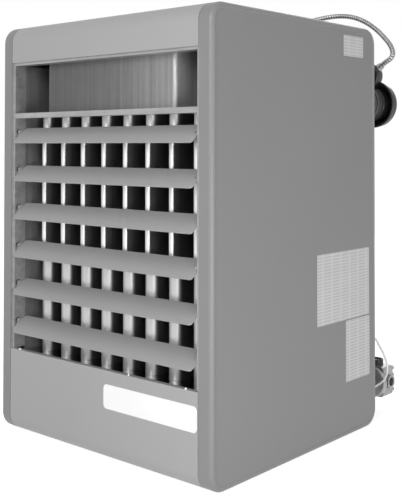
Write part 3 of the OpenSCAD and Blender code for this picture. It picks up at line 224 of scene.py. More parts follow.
def newGroup(name, inputs, outputs):
    group = bpy.data.node_groups.new(name, "ShaderNodeTree")
    for label, value in inputs.items():
        socket = group.interface.new_socket(label, in_out="INPUT", socket_type="NodeSocketFloat")
        socket.default_value = value
    for label in outputs:
        group.interface.new_socket(label, in_out="OUTPUT", socket_type="NodeSocketFloat")
    return group, group.nodes.new("NodeGroupInput"), group.nodes.new("NodeGroupOutput")


def makePaintSkin():  # orange peel of baked enamel, and its slow drift of tone
    group, given, put = newGroup("paintSkin", {"Peel Scale": 420.0, "Drift Scale": 5.0}, ("Height", "Tone"))
    place = objectPlace(group)
    peel = addNode(group, "ShaderNodeTexNoise", Detail=1.5, Roughness=0.5)
    drift = addNode(group, "ShaderNodeTexNoise", Detail=3.0, Roughness=0.55)
    for noise, label in ((peel, "Peel Scale"), (drift, "Drift Scale")):
        group.links.new(place, noise.inputs["Vector"])
        group.links.new(given.outputs[label], noise.inputs["Scale"])
    group.links.new(peel.outputs["Fac"], put.inputs["Height"])
    group.links.new(remap(group, drift.outputs["Fac"], *noiseSpan), put.inputs["Tone"])
    return group


def makeSheetGrain():  # rolling streaks of bare sheet, longer along the axis with the smaller scale
    inputs = {"Scale X": 60.0, "Scale Y": 60.0, "Scale Z": 4.0, "Spangle Scale": 70.0}
    group, given, put = newGroup("sheetGrain", inputs, ("Height", "Tone", "Spangle"))
    place = objectPlace(group)
    stretch = group.nodes.new("ShaderNodeCombineXYZ")
    for axis in "XYZ":
        group.links.new(given.outputs["Scale " + axis], stretch.inputs[axis])
    scaled = addNode(group, "ShaderNodeVectorMath", operation="MULTIPLY")
    group.links.new(place, scaled.inputs[0])
    group.links.new(stretch.outputs[0], scaled.inputs[1])
    streak = addNode(group, "ShaderNodeTexNoise", Scale=1.0, Detail=5.0, Roughness=0.6)
    group.links.new(scaled.outputs[0], streak.inputs["Vector"])
    flakes = addNode(group, "ShaderNodeTexVoronoi", feature="F1")
    group.links.new(place, flakes.inputs["Vector"])
    group.links.new(given.outputs["Spangle Scale"], flakes.inputs["Scale"])
    shades = group.nodes.new("ShaderNodeSeparateColor")
    group.links.new(flakes.outputs["Color"], shades.inputs[0])
    group.links.new(streak.outputs["Fac"], put.inputs["Height"])
    group.links.new(remap(group, streak.outputs["Fac"], *noiseSpan), put.inputs["Tone"])
    group.links.new(shades.outputs[0], put.inputs["Spangle"])
    return group


def makeEdgeRubAndHighlight():  # where handling has rubbed the edges, partly a painted edge highlight: a rounded normal that differs from the true one
    group, given, put = newGroup("edgeRubAndHighlight", {"Width": 0.0012, "Breakup Scale": 90.0}, ("Mask",))
    soft = addNode(group, "ShaderNodeBevel", samples=3)
    group.links.new(given.outputs["Width"], soft.inputs["Radius"])
    true = group.nodes.new("ShaderNodeNewGeometry")
    same = addNode(group, "ShaderNodeVectorMath", operation="DOT_PRODUCT")
    group.links.new(soft.outputs[0], same.inputs[0])
    group.links.new(true.outputs["True Normal"], same.inputs[1])
    patchy = addNode(group, "ShaderNodeTexNoise", Detail=4.0)
    group.links.new(objectPlace(group), patchy.inputs["Vector"])
    group.links.new(given.outputs["Breakup Scale"], patchy.inputs["Scale"])
    edge = remap(group, same.outputs["Value"], rubAndHighlightSpan["flat"], rubAndHighlightSpan["edge"])
    patches = remap(group, patchy.outputs["Fac"], *rubAndHighlightSpan["patches"])
    group.links.new(times(group, edge, patches), put.inputs["Mask"])
    return group


def makeSettledDust():  # dust on faces that look up
    group, given, put = newGroup("settledDust", {"Amount": 0.3, "Scale": 18.0}, ("Mask",))
    normal = group.nodes.new("ShaderNodeNewGeometry").outputs["Normal"]
    patchy = addNode(group, "ShaderNodeTexNoise", Detail=5.0, Roughness=0.65)
    group.links.new(objectPlace(group), patchy.inputs["Vector"])
    group.links.new(given.outputs["Scale"], patchy.inputs["Scale"])
    up = remap(group, axesOf(group, normal)["Z"], *dustSpan["slope"])
    both = times(group, up, remap(group, patchy.outputs["Fac"], *dustSpan["patches"]))
    mask = mathNode(group, "MULTIPLY", both, given.outputs["Amount"], clamp=True)
    group.links.new(mask, put.inputs["Mask"])
    return group


paintSkin, sheetGrain = makePaintSkin(), makeSheetGrain()
edgeRubAndHighlight, settledDust = makeEdgeRubAndHighlight(), makeSettledDust()
print("shader groups built")


# what the finishes are made of
def grey(value, warm=0.0):
    return (value * (1 + warm), value, value * (1 - warm))


def startFinish(name, p, **more):
    material = bpy.data.materials.new(name)
    material.use_nodes = True
    tree = material.node_tree
    tree.nodes.clear()
    out = tree.nodes.new("ShaderNodeOutputMaterial")
    shader = tree.nodes.new("ShaderNodeBsdfPrincipled")
    tree.links.new(shader.outputs[0], out.inputs["Surface"])
    shader.inputs["Base Color"].default_value = (*grey(p["tone"]), 1)
    shader.inputs["Roughness"].default_value = p["roughness"]
    for label, value in more.items():
        shader.inputs[label.replace("_", " ")].default_value = value
    return material, tree, shader


def useGroup(tree, group, **values):
    node = tree.nodes.new("ShaderNodeGroup")
    node.node_tree = group
    for label, value in values.items():
        node.inputs[label.replace("_", " ")].default_value = value
    return node.outputs


def blendColors(tree, mask, a, b):
    node = addNode(tree, "ShaderNodeMix", data_type="RGBA")
    tree.links.new(mask, node.inputs["Factor"])
    for socket, value in ((node.inputs[6], a), (node.inputs[7], b)):
        if isinstance(value, tuple):
            socket.default_value = (*value, 1)
        else:
            tree.links.new(value, socket)
    return node.outputs[2]


def bumpFrom(tree, shader, height, p):
    bump = addNode(tree, "ShaderNodeBump", Strength=p["bump"], Distance=p["bumpDeep"])
    tree.links.new(height, bump.inputs["Height"])
    tree.links.new(bump.outputs[0], shader.inputs["Normal"])


brightest, rubAndHighlightBrightest = 0.95, 0.9  # no metal or paint gives back more light than this


def driftedTone(tree, mask, p):
    darker, lighter = p["drift"]
    return blendColors(
        tree, mask, grey(p["tone"] * (1 - darker)), grey(min(p["tone"] * (1 + lighter), brightest))
    )


def worn(tree, color, p):  # rubbed edges lightened as wear and as a painted edge highlight, and settled dust over a colour, and the dust's mask
    rubAndHighlightTone = p["rubAndHighlightTone"] if "rubAndHighlightTone" in p else min(p["tone"] * p["rubAndHighlightGain"], rubAndHighlightBrightest)
    rubAndHighlight = useGroup(tree, edgeRubAndHighlight, Width=p["rubAndHighlightWidth"], Breakup_Scale=p["rubAndHighlightBreakup"])
    color = blendColors(tree, times(tree, rubAndHighlight["Mask"], p["rubAndHighlight"]), color, grey(rubAndHighlightTone))
    dust = useGroup(tree, settledDust, Amount=p["dust"], Scale=p["dustScale"])
    return blendColors(tree, dust["Mask"], color, grey(*p["dustTone"])), dust["Mask"]


def roughFrom(tree, shader, mask, span, p, dust=None):  # roughness drifts with a mask and rises under dust
    less, more = p["roughDrift"]
    rough = remap(tree, mask, *span, p["roughness"] - less, p["roughness"] + more)
    if dust is not None:
        rough = plus(tree, rough, times(tree, dust, p["dustRough"]))
    tree.links.new(rough, shader.inputs["Roughness"])


def paintedSteel(name, p):
    material, tree, shader = startFinish(name, p)
    skin = useGroup(tree, paintSkin, Peel_Scale=p["peel"], Drift_Scale=p["driftScale"])
    color, dust = worn(tree, driftedTone(tree, skin["Tone"], p), p)
    tree.links.new(color, shader.inputs["Base Color"])
    roughFrom(tree, shader, skin["Tone"], (0.0, 1.0), p, dust)
    bumpFrom(tree, shader, skin["Height"], p)
    return material


def paintedLightAlong(tree, grain, p):  # painted light and shade along one axis: the metal's tone steps between the given stops
    axis, stops = p["shade"]
    wander = plus(tree, axesOf(tree, objectPlace(tree))[axis], times(tree, grain, p["shadeWander"]))
    shade = stops[0][1]
    for (low, before), (high, after) in zip(stops, stops[1:]):
        shade = plus(tree, remap(tree, wander, low, high, 0.0, after - before), shade)
    return mathNode(tree, "DIVIDE", shade, p["tone"])


def bareSheet(name, p):
    material, tree, shader = startFinish(name, p, Metallic=p["metallic"])
    x, y, z = p["streaks"]
    grain = useGroup(tree, sheetGrain, Scale_X=x, Scale_Y=y, Scale_Z=z, Spangle_Scale=p["spangle"])
    flakes = times(tree, grain["Spangle"], p["flake"])
    mixed = plus(tree, times(tree, grain["Tone"], 1 - p["flake"]), flakes)
    color, dust = worn(tree, driftedTone(tree, mixed, p), p)
    # painted light and shade along one axis scales the colour and sets the roughness
    if "shade" in p:
        shade = paintedLightAlong(tree, grain["Tone"], p)
        scaled = addNode(tree, "ShaderNodeVectorMath", operation="SCALE")
        tree.links.new(color, scaled.inputs[0])
        tree.links.new(shade, scaled.inputs["Scale"])
        color = scaled.outputs[0]
        rough = remap(tree, shade, *p["shadeSpan"], p["shadeRough"], p["roughness"])
        tree.links.new(rough, shader.inputs["Roughness"])
    else:
        roughFrom(tree, shader, grain["Tone"], (0.0, 1.0), p, dust)
    tree.links.new(color, shader.inputs["Base Color"])
    bumpFrom(tree, shader, grain["Height"], p)
    return material


def castMetal(name, p):
    material, tree, shader = startFinish(name, p, Metallic=p["metallic"])
    skin = useGroup(tree, paintSkin, Peel_Scale=p["peel"], Drift_Scale=p["driftScale"])
    color = worn(tree, driftedTone(tree, skin["Tone"], p), p)[0]
    tree.links.new(color, shader.inputs["Base Color"])
    roughFrom(tree, shader, skin["Height"], noiseSpan, p)
    bumpFrom(tree, shader, skin["Height"], p)
    return material


def cordSkin(name, p):
    material, tree, shader = startFinish(name, p, Metallic=p["metallic"])
    skin = useGroup(tree, paintSkin, Peel_Scale=p["peel"], Drift_Scale=p["driftScale"])
    color = driftedTone(tree, skin["Tone"], p)
    if "grooveShadeTone" in p:  # painted shade: the low lines of a wound armour are darkened
        low = addNode(tree, "ShaderNodeAttribute", attribute_name="groove")
        color = blendColors(tree, low.outputs["Fac"], color, grey(p["grooveShadeTone"]))
    tree.links.new(color, shader.inputs["Base Color"])
    roughFrom(tree, shader, skin["Tone"], (0.0, 1.0), p)
    bumpFrom(tree, shader, skin["Height"], p)
    return material


# finishes: lengths in metres, scales in steps per metre, tones from 0 to 1
paint = {
    "tone": 0.36, "roughness": 0.42, "peel": 420, "driftScale": 4, "drift": (0.025, 0.025),
    "rubAndHighlight": 0.25, "rubAndHighlightWidth": 0.0011, "rubAndHighlightBreakup": 55, "rubAndHighlightGain": 1.7,
    "dust": 0.12, "dustScale": 14, "dustTone": (0.52, 0.02), "dustRough": 0.3,
    "roughDrift": (0.04, 0.05), "bump": 0.12, "bumpDeep": 0.00025,
}
sheet = {
    "roughness": 0.36, "metallic": 1.0, "streaks": (90, 90, 5), "spangle": 60, "flake": 0.25,
    "drift": (0.18, 0.18), "shadeWander": 0.003, "shadeSpan": (0.1, 1.0),
    "rubAndHighlight": 0.4, "rubAndHighlightWidth": 0.0008, "rubAndHighlightBreakup": 120, "rubAndHighlightGain": 1.6,
    "dust": 0.25, "dustScale": 22, "dustTone": (0.4, 0.03), "dustRough": 0.3,
    "roughDrift": (0.06, 0.08), "bump": 0.12, "bumpDeep": 0.0002,
}
cast = {
    "roughness": 0.5, "metallic": 0.9, "peel": 900, "driftScale": 30, "drift": (0.2, 0.25),
    "rubAndHighlight": 0.5, "rubAndHighlightTone": 0.6, "rubAndHighlightWidth": 0.001, "rubAndHighlightBreakup": 150,
    "dust": 0.2, "dustScale": 30, "dustTone": (0.35, 0.03),
    "roughDrift": (0.07, 0.07), "bump": 0.5, "bumpDeep": 0.0005,
}
cord = {
    "metallic": 0.0, "peel": 900, "driftScale": 60, "drift": (0.15, 0.15),
    "roughDrift": (0.05, 0.06), "bump": 0.15, "bumpDeep": 0.0002,
}
finishes = {
    "jacket_paint": paintedSteel("jacketPaint", paint),
    # the louvers' stronger edge rub is partly a painted highlight along their hems
    "louver_paint": paintedSteel("louverPaint", {
        **paint, "tone": 0.34, "roughness": 0.45, "drift": (0.03, 0.03), "rubAndHighlight": 0.5, "dust": 0.1,
    }),
    "frame_steel": bareSheet("frameSteel", {
        **sheet, "tone": 0.38, "metallic": 0.55, "roughness": 0.45, "streaks": (5, 80, 80),
    }),
    "aluminised_steel": bareSheet("aluminisedSheet", {
        **sheet, "tone": 0.30, "roughness": 0.42, "flake": 0.45, "spangle": 110,
    }),
    "burner_steel": bareSheet("burnerSteel", {
        **sheet, "tone": 0.32, "roughness": 0.42, "streaks": (80, 6, 80),
    }),
    "black_pipe": castMetal("blackPipe", {**cast, "tone": 0.035, "metallic": 0.3, "rubAndHighlightTone": 0.16}),
    "valve_casting": castMetal("valveCasting", {**cast, "tone": 0.32, "roughness": 0.46, "rubAndHighlightTone": 0.75}),
    "black_plastic": castMetal("blackPlastic", {
        **cast, "tone": 0.022, "metallic": 0.0, "roughness": 0.45,
        "peel": 1400, "rubAndHighlightTone": 0.07, "bump": 0.2,
    }),
    "black_enamel": castMetal("blackEnamel", {
        **cast, "tone": 0.018, "metallic": 0.0, "roughness": 0.3,
        "peel": 500, "rubAndHighlightTone": 0.1, "bump": 0.15,
    }),
    "guard_wire": bareSheet("guardWire", {
        **sheet, "tone": 0.42, "roughness": 0.32, "flake": 0.0, "bump": 0.05,
    }),
    "propeller_aluminium": bareSheet("propellerAluminium", {
        **sheet, "tone": 0.5, "roughness": 0.38, "streaks": (60, 60, 60), "flake": 0.0,
    }),
    "shaft_steel": bareSheet("shaftSteel", {
        **sheet, "tone": 0.5, "roughness": 0.22, "streaks": (20, 300, 20), "flake": 0.0,
    }),
    "box_steel": bareSheet("boxSteel", {
        **sheet, "tone": 0.5, "roughness": 0.4, "flake": 0.6, "spangle": 90,
    }),
    "conduit_steel": cordSkin("conduitSteel", {
        **cord, "tone": 0.36, "roughness": 0.34, "metallic": 1.0, "grooveShadeTone": 0.02,
    }),
    "lead_white": cordSkin("leadWhite", {**cord, "tone": 0.92, "roughness": 0.35, "drift": (0.03, 0.03)}),
    "hose_rubber": cordSkin("hoseRubber", {**cord, "tone": 0.022, "roughness": 0.55}),
    "screw_zinc": bareSheet("screwZinc", {
        **sheet, "tone": 0.62, "roughness": 0.28, "streaks": (200, 200, 200), "flake": 0.0,
    }),
    "pilot_aluminium": bareSheet("pilotAluminium", {**sheet, "tone": 0.6, "roughness": 0.3, "flake": 0.0}),
}
tubeFinish = bareSheet("tubeSheet", {  # painted highlight at the noses and painted shade further in, between the tubes
    **sheet, "tone": 0.88, "roughness": 0.32, "streaks": (160, 160, 7), "flake": 0.1, "drift": (0.06, 0.06),
    "shade": ("Y", [(-0.2365, 0.68), (-0.2325, 0.55), (-0.2225, 0.32), (-0.212, 0.14)]), "shadeRough": 0.55,
})
collectorFinish = bareSheet("collectorSheet", {  # painted reflection, lighter to the right, with a painted highlight on the bend at its end
    **sheet, "tone": 0.16, "metallic": 0.7, "roughness": 0.45, "streaks": (140, 140, 4), "flake": 0.1,
    "rubAndHighlight": 0.8, "dust": 0.1, "shadeRough": 0.5,
    "shade": ("X", [
        (-0.186, 0.14), (-0.180, 0.11), (0.0, 0.15), (0.19, 0.28), (0.1955, 0.3), (0.1985, 0.8),
    ]),
})
apronFinish = bareSheet("apronSheet", {
    **sheet, "tone": 0.5, "roughness": 0.14, "streaks": (6, 120, 120), "flake": 0.1,
    "dust": 0.05, "bump": 0.05,
})
# painted shade: a darker copy of the jacket paint for the side panels, which get less light
sidePaint = paintedSteel("sidePaint", {**paint, "tone": 0.225, "roughness": 0.4})
baffleFinish = bareSheet("baffleSheet", {
    **sheet, "tone": 0.26, "metallic": 0.55, "roughness": 0.5, "streaks": (80, 80, 5),
})
ownFinish = {
    "left_baffle": baffleFinish, "right_baffle": baffleFinish,
    "left_side_panel": sidePaint, "right_side_panel": sidePaint,
    "flue_collector_box": collectorFinish, "lower_tube_sheet": apronFinish,
}
print("finishes made")

# every CAD node gets its own finish or that of its slot
slotOf = {row["node"]: row["material_slot"] for row in frame["record"]["subparts"]}
for name, part in nodes.items():
    part.data.materials.clear()
    part.data.materials.append(ownFinish.get(name, finishes[slotOf[name]]))

# cords that run outside the cabinet, in mm
conduit = {
    "route": [
        (-48, 310, 840.2), (-48, 310, 858), (-42, 316, 882), (-24, 332, 910), (3, 356, 937),
        (40, 384, 957.5), (81, 410, 970), (122, 428, 974.5), (159, 438, 969), (194, 443, 953.5),
        (225, 445, 931.5), (249.5, 445, 908), (266, 443, 888.5), (274, 440, 869), (270, 436, 856),
        (256.373, 433.3, 847.12), (245.887, 433.3, 839.779),
    ],
    "radius": 6.5, "groove": 0.95, "pitch": 6.5, "flank": 0.2, "sides": 20, "ringsPerTurn": 8,
}
lead = {
    "route": [
        (289.2, 300, 192.4), (294.2, 300, 192.4), (299, 315, 184), (300, 330, 166), (301.5, 346, 145),
        (303.5, 355, 125.8), (304.5, 358, 109.7), (302.5, 358, 92.6), (293.5, 357, 76.6), (281.5, 353, 66),
        (273.5, 343, 59), (270, 325, 55), (270, 296, 54), (270, 268.9, 54),
    ],
    "radius": 2.5,
}
hose = {
    "route": [
        (-150.5, 294, 812.2), (-150.5, 294, 820.2), (-141.5, 302, 844), (-107.5, 328, 855),
        (-33.5, 348, 858), (46.5, 348, 856), (116.5, 338, 850), (156.5, 324, 842), (172, 315, 829.2),
        (172, 315, 821.2),
    ],
    "radius": 4.0, "endRadius": 4.9, "endLength": 9, "endSlope": 2.2,
}
pilot = {
    "route": [
        (216, 388.5, 110.2), (216, 388.5, 116.6), (218.5, 376.5, 124), (231.5, 352, 125), (251.5, 318, 103),
        (267.5, 299, 80), (270, 286, 74), (270, 268.9, 74),
    ],
    "radius": 3.2,
}
cordMesh = {"step": 3, "leastRings": 12, "sides": 18}


def makeConduit(p):
    line = smoothRoute(p["route"])
    length = evenSpots(line, 2)[1]
    count = round(length / (p["pitch"] * mm)) * p["ringsPerTurn"]
    frames = framesAlong(evenSpots(line, count)[0])
    bm = bmesh.new()

    def depth(i, share):  # 0 on a strip's crest, 1 in the groove between two turns
        phase = (i / p["ringsPerTurn"] - share) % 1.0
        return 1 - ease(min(min(phase, 1 - phase) / p["flank"], 1.0))

    def radius(i, share):
        return (p["radius"] - p["groove"] * depth(i, share)) * mm

    layer = bm.verts.layers.float.new("groove")
    rings = sweep(bm, frames, p["sides"], radius)
    for i, ring in enumerate(rings):
        for k, v in enumerate(ring):
            v[layer] = depth(i, k / p["sides"])
    piece = fromBmesh("conduitArmour", bm, sharpAbove=60)
    give(piece, finishes["conduit_steel"], "cabinet", ["armoured_conduit"])
    print("conduit", round(length, 3), "m with", count // p["ringsPerTurn"], "turns")


def makeCord(name, p, slot, node):
    line = smoothRoute(p["route"])
    length = evenSpots(line, 2)[1]
    count = max(int(length / (cordMesh["step"] * mm)), cordMesh["leastRings"])

    def radius(i, share):
        if "endRadius" not in p:
            return p["radius"] * mm
        fromEnd = min(i, count - i) * length / count
        swell = min((1 - min(fromEnd / (p["endLength"] * mm), 1.0)) * p["endSlope"], 1.0)
        return (p["radius"] + (p["endRadius"] - p["radius"]) * ease(swell)) * mm

    bm = bmesh.new()
    sweep(bm, framesAlong(evenSpots(line, count)[0]), cordMesh["sides"], radius)
    give(fromBmesh(name, bm, sharpAbove=50), finishes[slot], "cabinet", [node])
    print(name, round(length, 3), "m")


makeConduit(conduit)
makeCord("ignitionLead", lead, "lead_white", "ignition_lead")
makeCord("pressureHose", hose, "hose_rubber", "pressure_hose")
makeCord("pilotTube", pilot, "pilot_aluminium", "pilot_tube")

# flattened tubes of the heat exchanger, whose girth stays the same along the height, in mm
tube = {
    "count": 8, "pitch": 67.2857, "front": -230, "length": 358, "wall": 1.2, "throat": 6.5, "noseSteps": 20,
    "levels": [  # (height, half thickness), eased from one to the next
        (177.2, 15.5), (393.2, 15.5), (408.2, 6.5), (638.1, 6.5), (688.1, 13), (702.1, 13),
    ],
    "easeSteps": 7,
}


def tubeLevels(p):
    levels = [p["levels"][0]]
    for (z0, r0), (z1, r1) in zip(p["levels"], p["levels"][1:]):
        steps = 1 if r0 == r1 else p["easeSteps"]
        for k in range(1, steps + 1):
            share = k / steps
            levels.append((z0 + (z1 - z0) * share, r0 + (r1 - r0) * ease(share)))
    return levels


def tubeRing(p, r, inset, z, x):
    drawnIn = math.pi * (r - p["throat"]) / 2
    ring = []
    for middle, start in ((p["length"] - drawnIn, 0), (drawnIn, 180)):
        for k in range(p["noseSteps"] + 1):
            a = math.radians(start + 180 * k / p["noseSteps"])
            ring.append((x + (r - inset) * math.cos(a), p["front"] + middle + (r - inset) * math.sin(a), z))
    return ring


def makeTubes(p):
    bm = bmesh.new()
    levels = tubeLevels(p)
    for i in range(p["count"]):
        x = (i - (p["count"] - 1) / 2) * p["pitch"]
        outside = [tubeRing(p, r, 0, z, x) for z, r in levels]
        inside = [tubeRing(p, r, p["wall"], z, x) for z, r in reversed(levels)]
        rings = [[bm.verts.new(Vector(c) * mm) for c in ring] for ring in outside + inside]
        joinRings(bm, rings + rings[:1], capped=False)
    names = ["heat_exchanger_tube_%d" % (i + 1) for i in range(p["count"])]
    piece = fromBmesh("exchangerTubes", bm, sharpAbove=50)
    give(piece, tubeFinish, "cabinet", names)


makeTubes(tube)
print("tubes made")


# Geometry Nodes trees for what repeats
def newTree(name, inputs):  # inputs is {label: (socket type, value)}
    tree = bpy.data.node_groups.new(name, "GeometryNodeTree")
    tree.interface.new_socket("Geometry", in_out="INPUT", socket_type="NodeSocketGeometry")
    for label, (kind, value) in inputs.items():
        tree.interface.new_socket(label, in_out="INPUT", socket_type=kind).default_value = value
    tree.interface.new_socket("Geometry", in_out="OUTPUT", socket_type="NodeSocketGeometry")
    return tree, tree.nodes.new("NodeGroupInput").outputs, tree.nodes.new("NodeGroupOutput")


def wire(tree, kind, links, **settings):  # a node with its links by socket name or number
    node = addNode(tree, kind, **settings)
    for label, source in links.items():
        tree.links.new(source, node.inputs[label])
    return node


def endTree(tree, put, geometry, material):
    real = wire(tree, "GeometryNodeRealizeInstances", {"Geometry": geometry})
    painted = wire(tree, "GeometryNodeSetMaterial", {"Geometry": real.outputs[0]}, Material=material)
    tree.links.new(painted.outputs[0], put.inputs[0])


def roundWire(tree, lines, radius, sides=10):  # wire along lines that are still instances
    real = wire(tree, "GeometryNodeRealizeInstances", {"Geometry": lines})
    profile = wire(tree, "GeometryNodeCurvePrimitiveCircle", {"Radius": radius}, Resolution=sides)
    links = {"Curve": real.outputs[0], "Profile Curve": profile.outputs[0]}
    return wire(tree, "GeometryNodeCurveToMesh", links, **{"Fill Caps": True}).outputs[0]


def fromTree(name, base, tree, values, sharpAbove):  # the tree's result over a base mesh as a plain mesh
    holder = newObject(name + "Base", base)
    modifier = holder.modifiers.new("build", "NODES")
    modifier.node_group = tree
    for item in tree.interface.items_tree:
        if item.in_out == "INPUT" and item.name in values:
            modifier[item.identifier] = values[item.name]
    holder.update_tag()
    bpy.context.view_layer.update()
    result = bpy.data.meshes.new_from_object(holder.evaluated_get(bpy.context.evaluated_depsgraph_get()))
    bpy.data.objects.remove(holder)
    result.materials.clear()
    result.polygons.foreach_set("material_index", [0] * len(result.polygons))
    shadeRound(result, sharpAbove)
    return newObject(name, result)


def pointMesh(name, spots):  # spots is [(place in mm, aim)]
    mesh = bpy.data.meshes.new(name)
    mesh.from_pydata([[c * mm for c in place] for place, aim in spots], [], [])
    layer = mesh.attributes.new("aim", "FLOAT_VECTOR", "POINT")
    layer.data.foreach_set("vector", [c for place, aim in spots for c in aim])
    return mesh


# washer face, hexagon and crown of a screw: sides, then two radii and the height as shares of the head
screwLayers = [(28, 1.0, 0.93, 0.3), (6, 0.84, 0.84, 0.85), (24, 0.74, 0.55, 1.0)]


def screwTree(material):  # hex head screws with a washer face, each turned its own way
    tree, given, put = newTree("screwField", {
        "Head Radius": ("NodeSocketFloat", 0.0046), "Head Height": ("NodeSocketFloat", 0.0026),
        "Seed": ("NodeSocketInt", 4),
    })
    joined = tree.nodes.new("GeometryNodeJoinGeometry")
    for sides, below, above, high in screwLayers:
        cone = wire(tree, "GeometryNodeMeshCone", {
            "Radius Bottom": times(tree, given["Head Radius"], below),
            "Radius Top": times(tree, given["Head Radius"], above),
            "Depth": times(tree, given["Head Height"], high),
        }, Vertices=sides)
        tree.links.new(cone.outputs["Mesh"], joined.inputs[0])
    aim = addNode(tree, "GeometryNodeInputNamedAttribute", data_type="FLOAT_VECTOR", Name="aim")
    aimed = wire(tree, "FunctionNodeAlignRotationToVector", {"Vector": aim.outputs[0]}, axis="Z")
    spin = wire(tree, "FunctionNodeRandomValue", {"Seed": given["Seed"]}, data_type="FLOAT")
    turn = wire(tree, "ShaderNodeCombineXYZ", {"Z": times(tree, spin.outputs[1], math.tau)})
    turned = wire(tree, "FunctionNodeRotateRotation", {
        "Rotation": aimed.outputs[0], "Rotate By": turn.outputs[0],
    }, rotation_space="LOCAL")
    field = wire(tree, "GeometryNodeInstanceOnPoints", {
        "Points": given["Geometry"], "Instance": joined.outputs[0], "Rotation": turned.outputs[0],
    })
    endTree(tree, put, field.outputs[0], material)
    return tree


def ringTree(material, hoopSides=96):  # wire rings one behind another along Y, each wider than the last
    tree, given, put = newTree("ringStack", {
        "Count": ("NodeSocketInt", 5), "First Radius": ("NodeSocketFloat", 0.05),
        "Radius Step": ("NodeSocketFloat", 0.0), "Spacing": ("NodeSocketFloat", 0.01),
        "Wire Radius": ("NodeSocketFloat", 0.002),
    })
    gap = wire(tree, "ShaderNodeCombineXYZ", {"Y": given["Spacing"]})
    line = wire(tree, "GeometryNodeMeshLine", {"Count": given["Count"], "Offset": gap.outputs[0]})
    order = tree.nodes.new("GeometryNodeInputIndex").outputs[0]
    size = plus(tree, times(tree, order, given["Radius Step"]), given["First Radius"])
    hoop = addNode(tree, "GeometryNodeCurvePrimitiveCircle", Resolution=hoopSides, Radius=1.0)
    rings = wire(tree, "GeometryNodeInstanceOnPoints", {
        "Points": line.outputs[0], "Instance": hoop.outputs[0], "Scale": size,
    }, Rotation=(math.pi / 2, 0, 0))
    wires = roundWire(tree, rings.outputs[0], given["Wire Radius"])
    moved = wire(tree, "GeometryNodeInstanceOnPoints", {"Points": given["Geometry"], "Instance": wires})
    endTree(tree, put, moved.outputs[0], material)
    return tree


def spokeTree(material):  # a line of edges swept as wire and repeated round Y
    tree, given, put = newTree("spokeFan", {
        "Count": ("NodeSocketInt", 8), "Wire Radius": ("NodeSocketFloat", 0.002),
    })
    count = given["Count"]
    spots = wire(tree, "GeometryNodeMeshLine", {"Count": count}, Offset=(0, 0, 0))
    order = tree.nodes.new("GeometryNodeInputIndex").outputs[0]
    share = mathNode(tree, "DIVIDE", plus(tree, order, 0.5), count)
    turn = wire(tree, "ShaderNodeCombineXYZ", {"Y": times(tree, share, math.tau)})
    line = wire(tree, "GeometryNodeMeshToCurve", {"Mesh": given["Geometry"]})
    fan = wire(tree, "GeometryNodeInstanceOnPoints", {
        "Points": spots.outputs[0], "Instance": line.outputs[0], "Rotation": turn.outputs[0],
    })
    endTree(tree, put, roundWire(tree, fan.outputs[0], given["Wire Radius"]), material)
    return tree


screws, castScrews = screwTree(finishes["screw_zinc"]), screwTree(finishes["valve_casting"])
guardRings, motorRings = ringTree(finishes["guard_wire"]), ringTree(finishes["black_enamel"])
guardSpokes = spokeTree(finishes["guard_wire"])
print("trees built")

# screw heads, in mm
screwPlan = {
    "sideX": 293.83, "rearY": 282.5, "rearLow": 206.4, "rearStep": 196.7, "rearRows": 4,
    "topZ": 908, "topStep": 217.5, "returnSpots": [(-259, -277), (96, -277), (252, -277)], "returnZ": 185,
    "capY": 421.3, "capSpots": [(273, 91), (273, 74), (273, 56), (273, 39), (220, 88), (226, 44)],
    "lidX": -65.5, "lidHalf": 37, "lidY": 333.9, "lidZ": 774,
    "jacketHead": {"radius": 4.6, "height": 2.6, "seed": 4},
    "smallHead": {"radius": 3.8, "height": 2.2, "seed": 9},
    "capHead": {"radius": 7, "height": 15, "seed": 2},
}
backward, upward = (0, 1, 0), (0, 0, 1)


def screwField(name, spots, tree, head, slot, stands=()):
    values = {"Head Radius": head["radius"] * mm, "Head Height": head["height"] * mm, "Seed": head["seed"]}
    piece = fromTree(name, pointMesh(name + "Spots", spots), tree, values, sharpAbove=30)
    give(piece, finishes[slot], "cabinet", stands)


def makeScrews(p):
    jacket = []
    for side in (-1, 1):
        for k in range(p["rearRows"]):
            jacket.append(((side * p["sideX"], p["rearY"], p["rearLow"] + k * p["rearStep"]), backward))
        for k in (-1, 0, 1):
            jacket.append(((side * p["sideX"], k * p["topStep"], p["topZ"]), upward))
    small = [((x, y, p["returnZ"]), upward) for x, y in p["returnSpots"]]
    small += [((p["lidX"] + side * p["lidHalf"], p["lidY"], p["lidZ"]), backward) for side in (-1, 1)]
    caps = [((x, p["capY"], z), backward) for x, z in p["capSpots"]]
    screwField("jacketScrewHeads", jacket, screws, p["jacketHead"], "screw_zinc", ["jacket_screws"])
    screwField("smallScrewHeads", small, screws, p["smallHead"], "screw_zinc")
    screwField("valvePortCaps", caps, castScrews, p["capHead"], "valve_casting")


makeScrews(screwPlan)
print("screws made")

# fan guard and the rings of the venter motor, in mm
guard = {
    "middleZ": 430.4, "rearY": 282.5, "faceY": 362.5, "eye": 84, "rim": 244.4, "bend": 14, "wire": 2.2,
    "faceRings": 9, "wallRings": 2, "spokes": 8, "bendSteps": 10,
}
motorBands = {"middle": (210.5, 744), "firstY": 372, "spacing": 15, "count": 5, "radius": 42, "wire": 1.6}


def wireRings(name, tree, spot, wireRadius, count, radius, grow=0.0, spacing=0.0):
    return fromTree(name, pointMesh(name + "Spot", [(spot, backward)]), tree, {
        "Count": count, "First Radius": radius * mm, "Radius Step": grow * mm, "Spacing": spacing * mm,
        "Wire Radius": wireRadius * mm,
    }, sharpAbove=40)


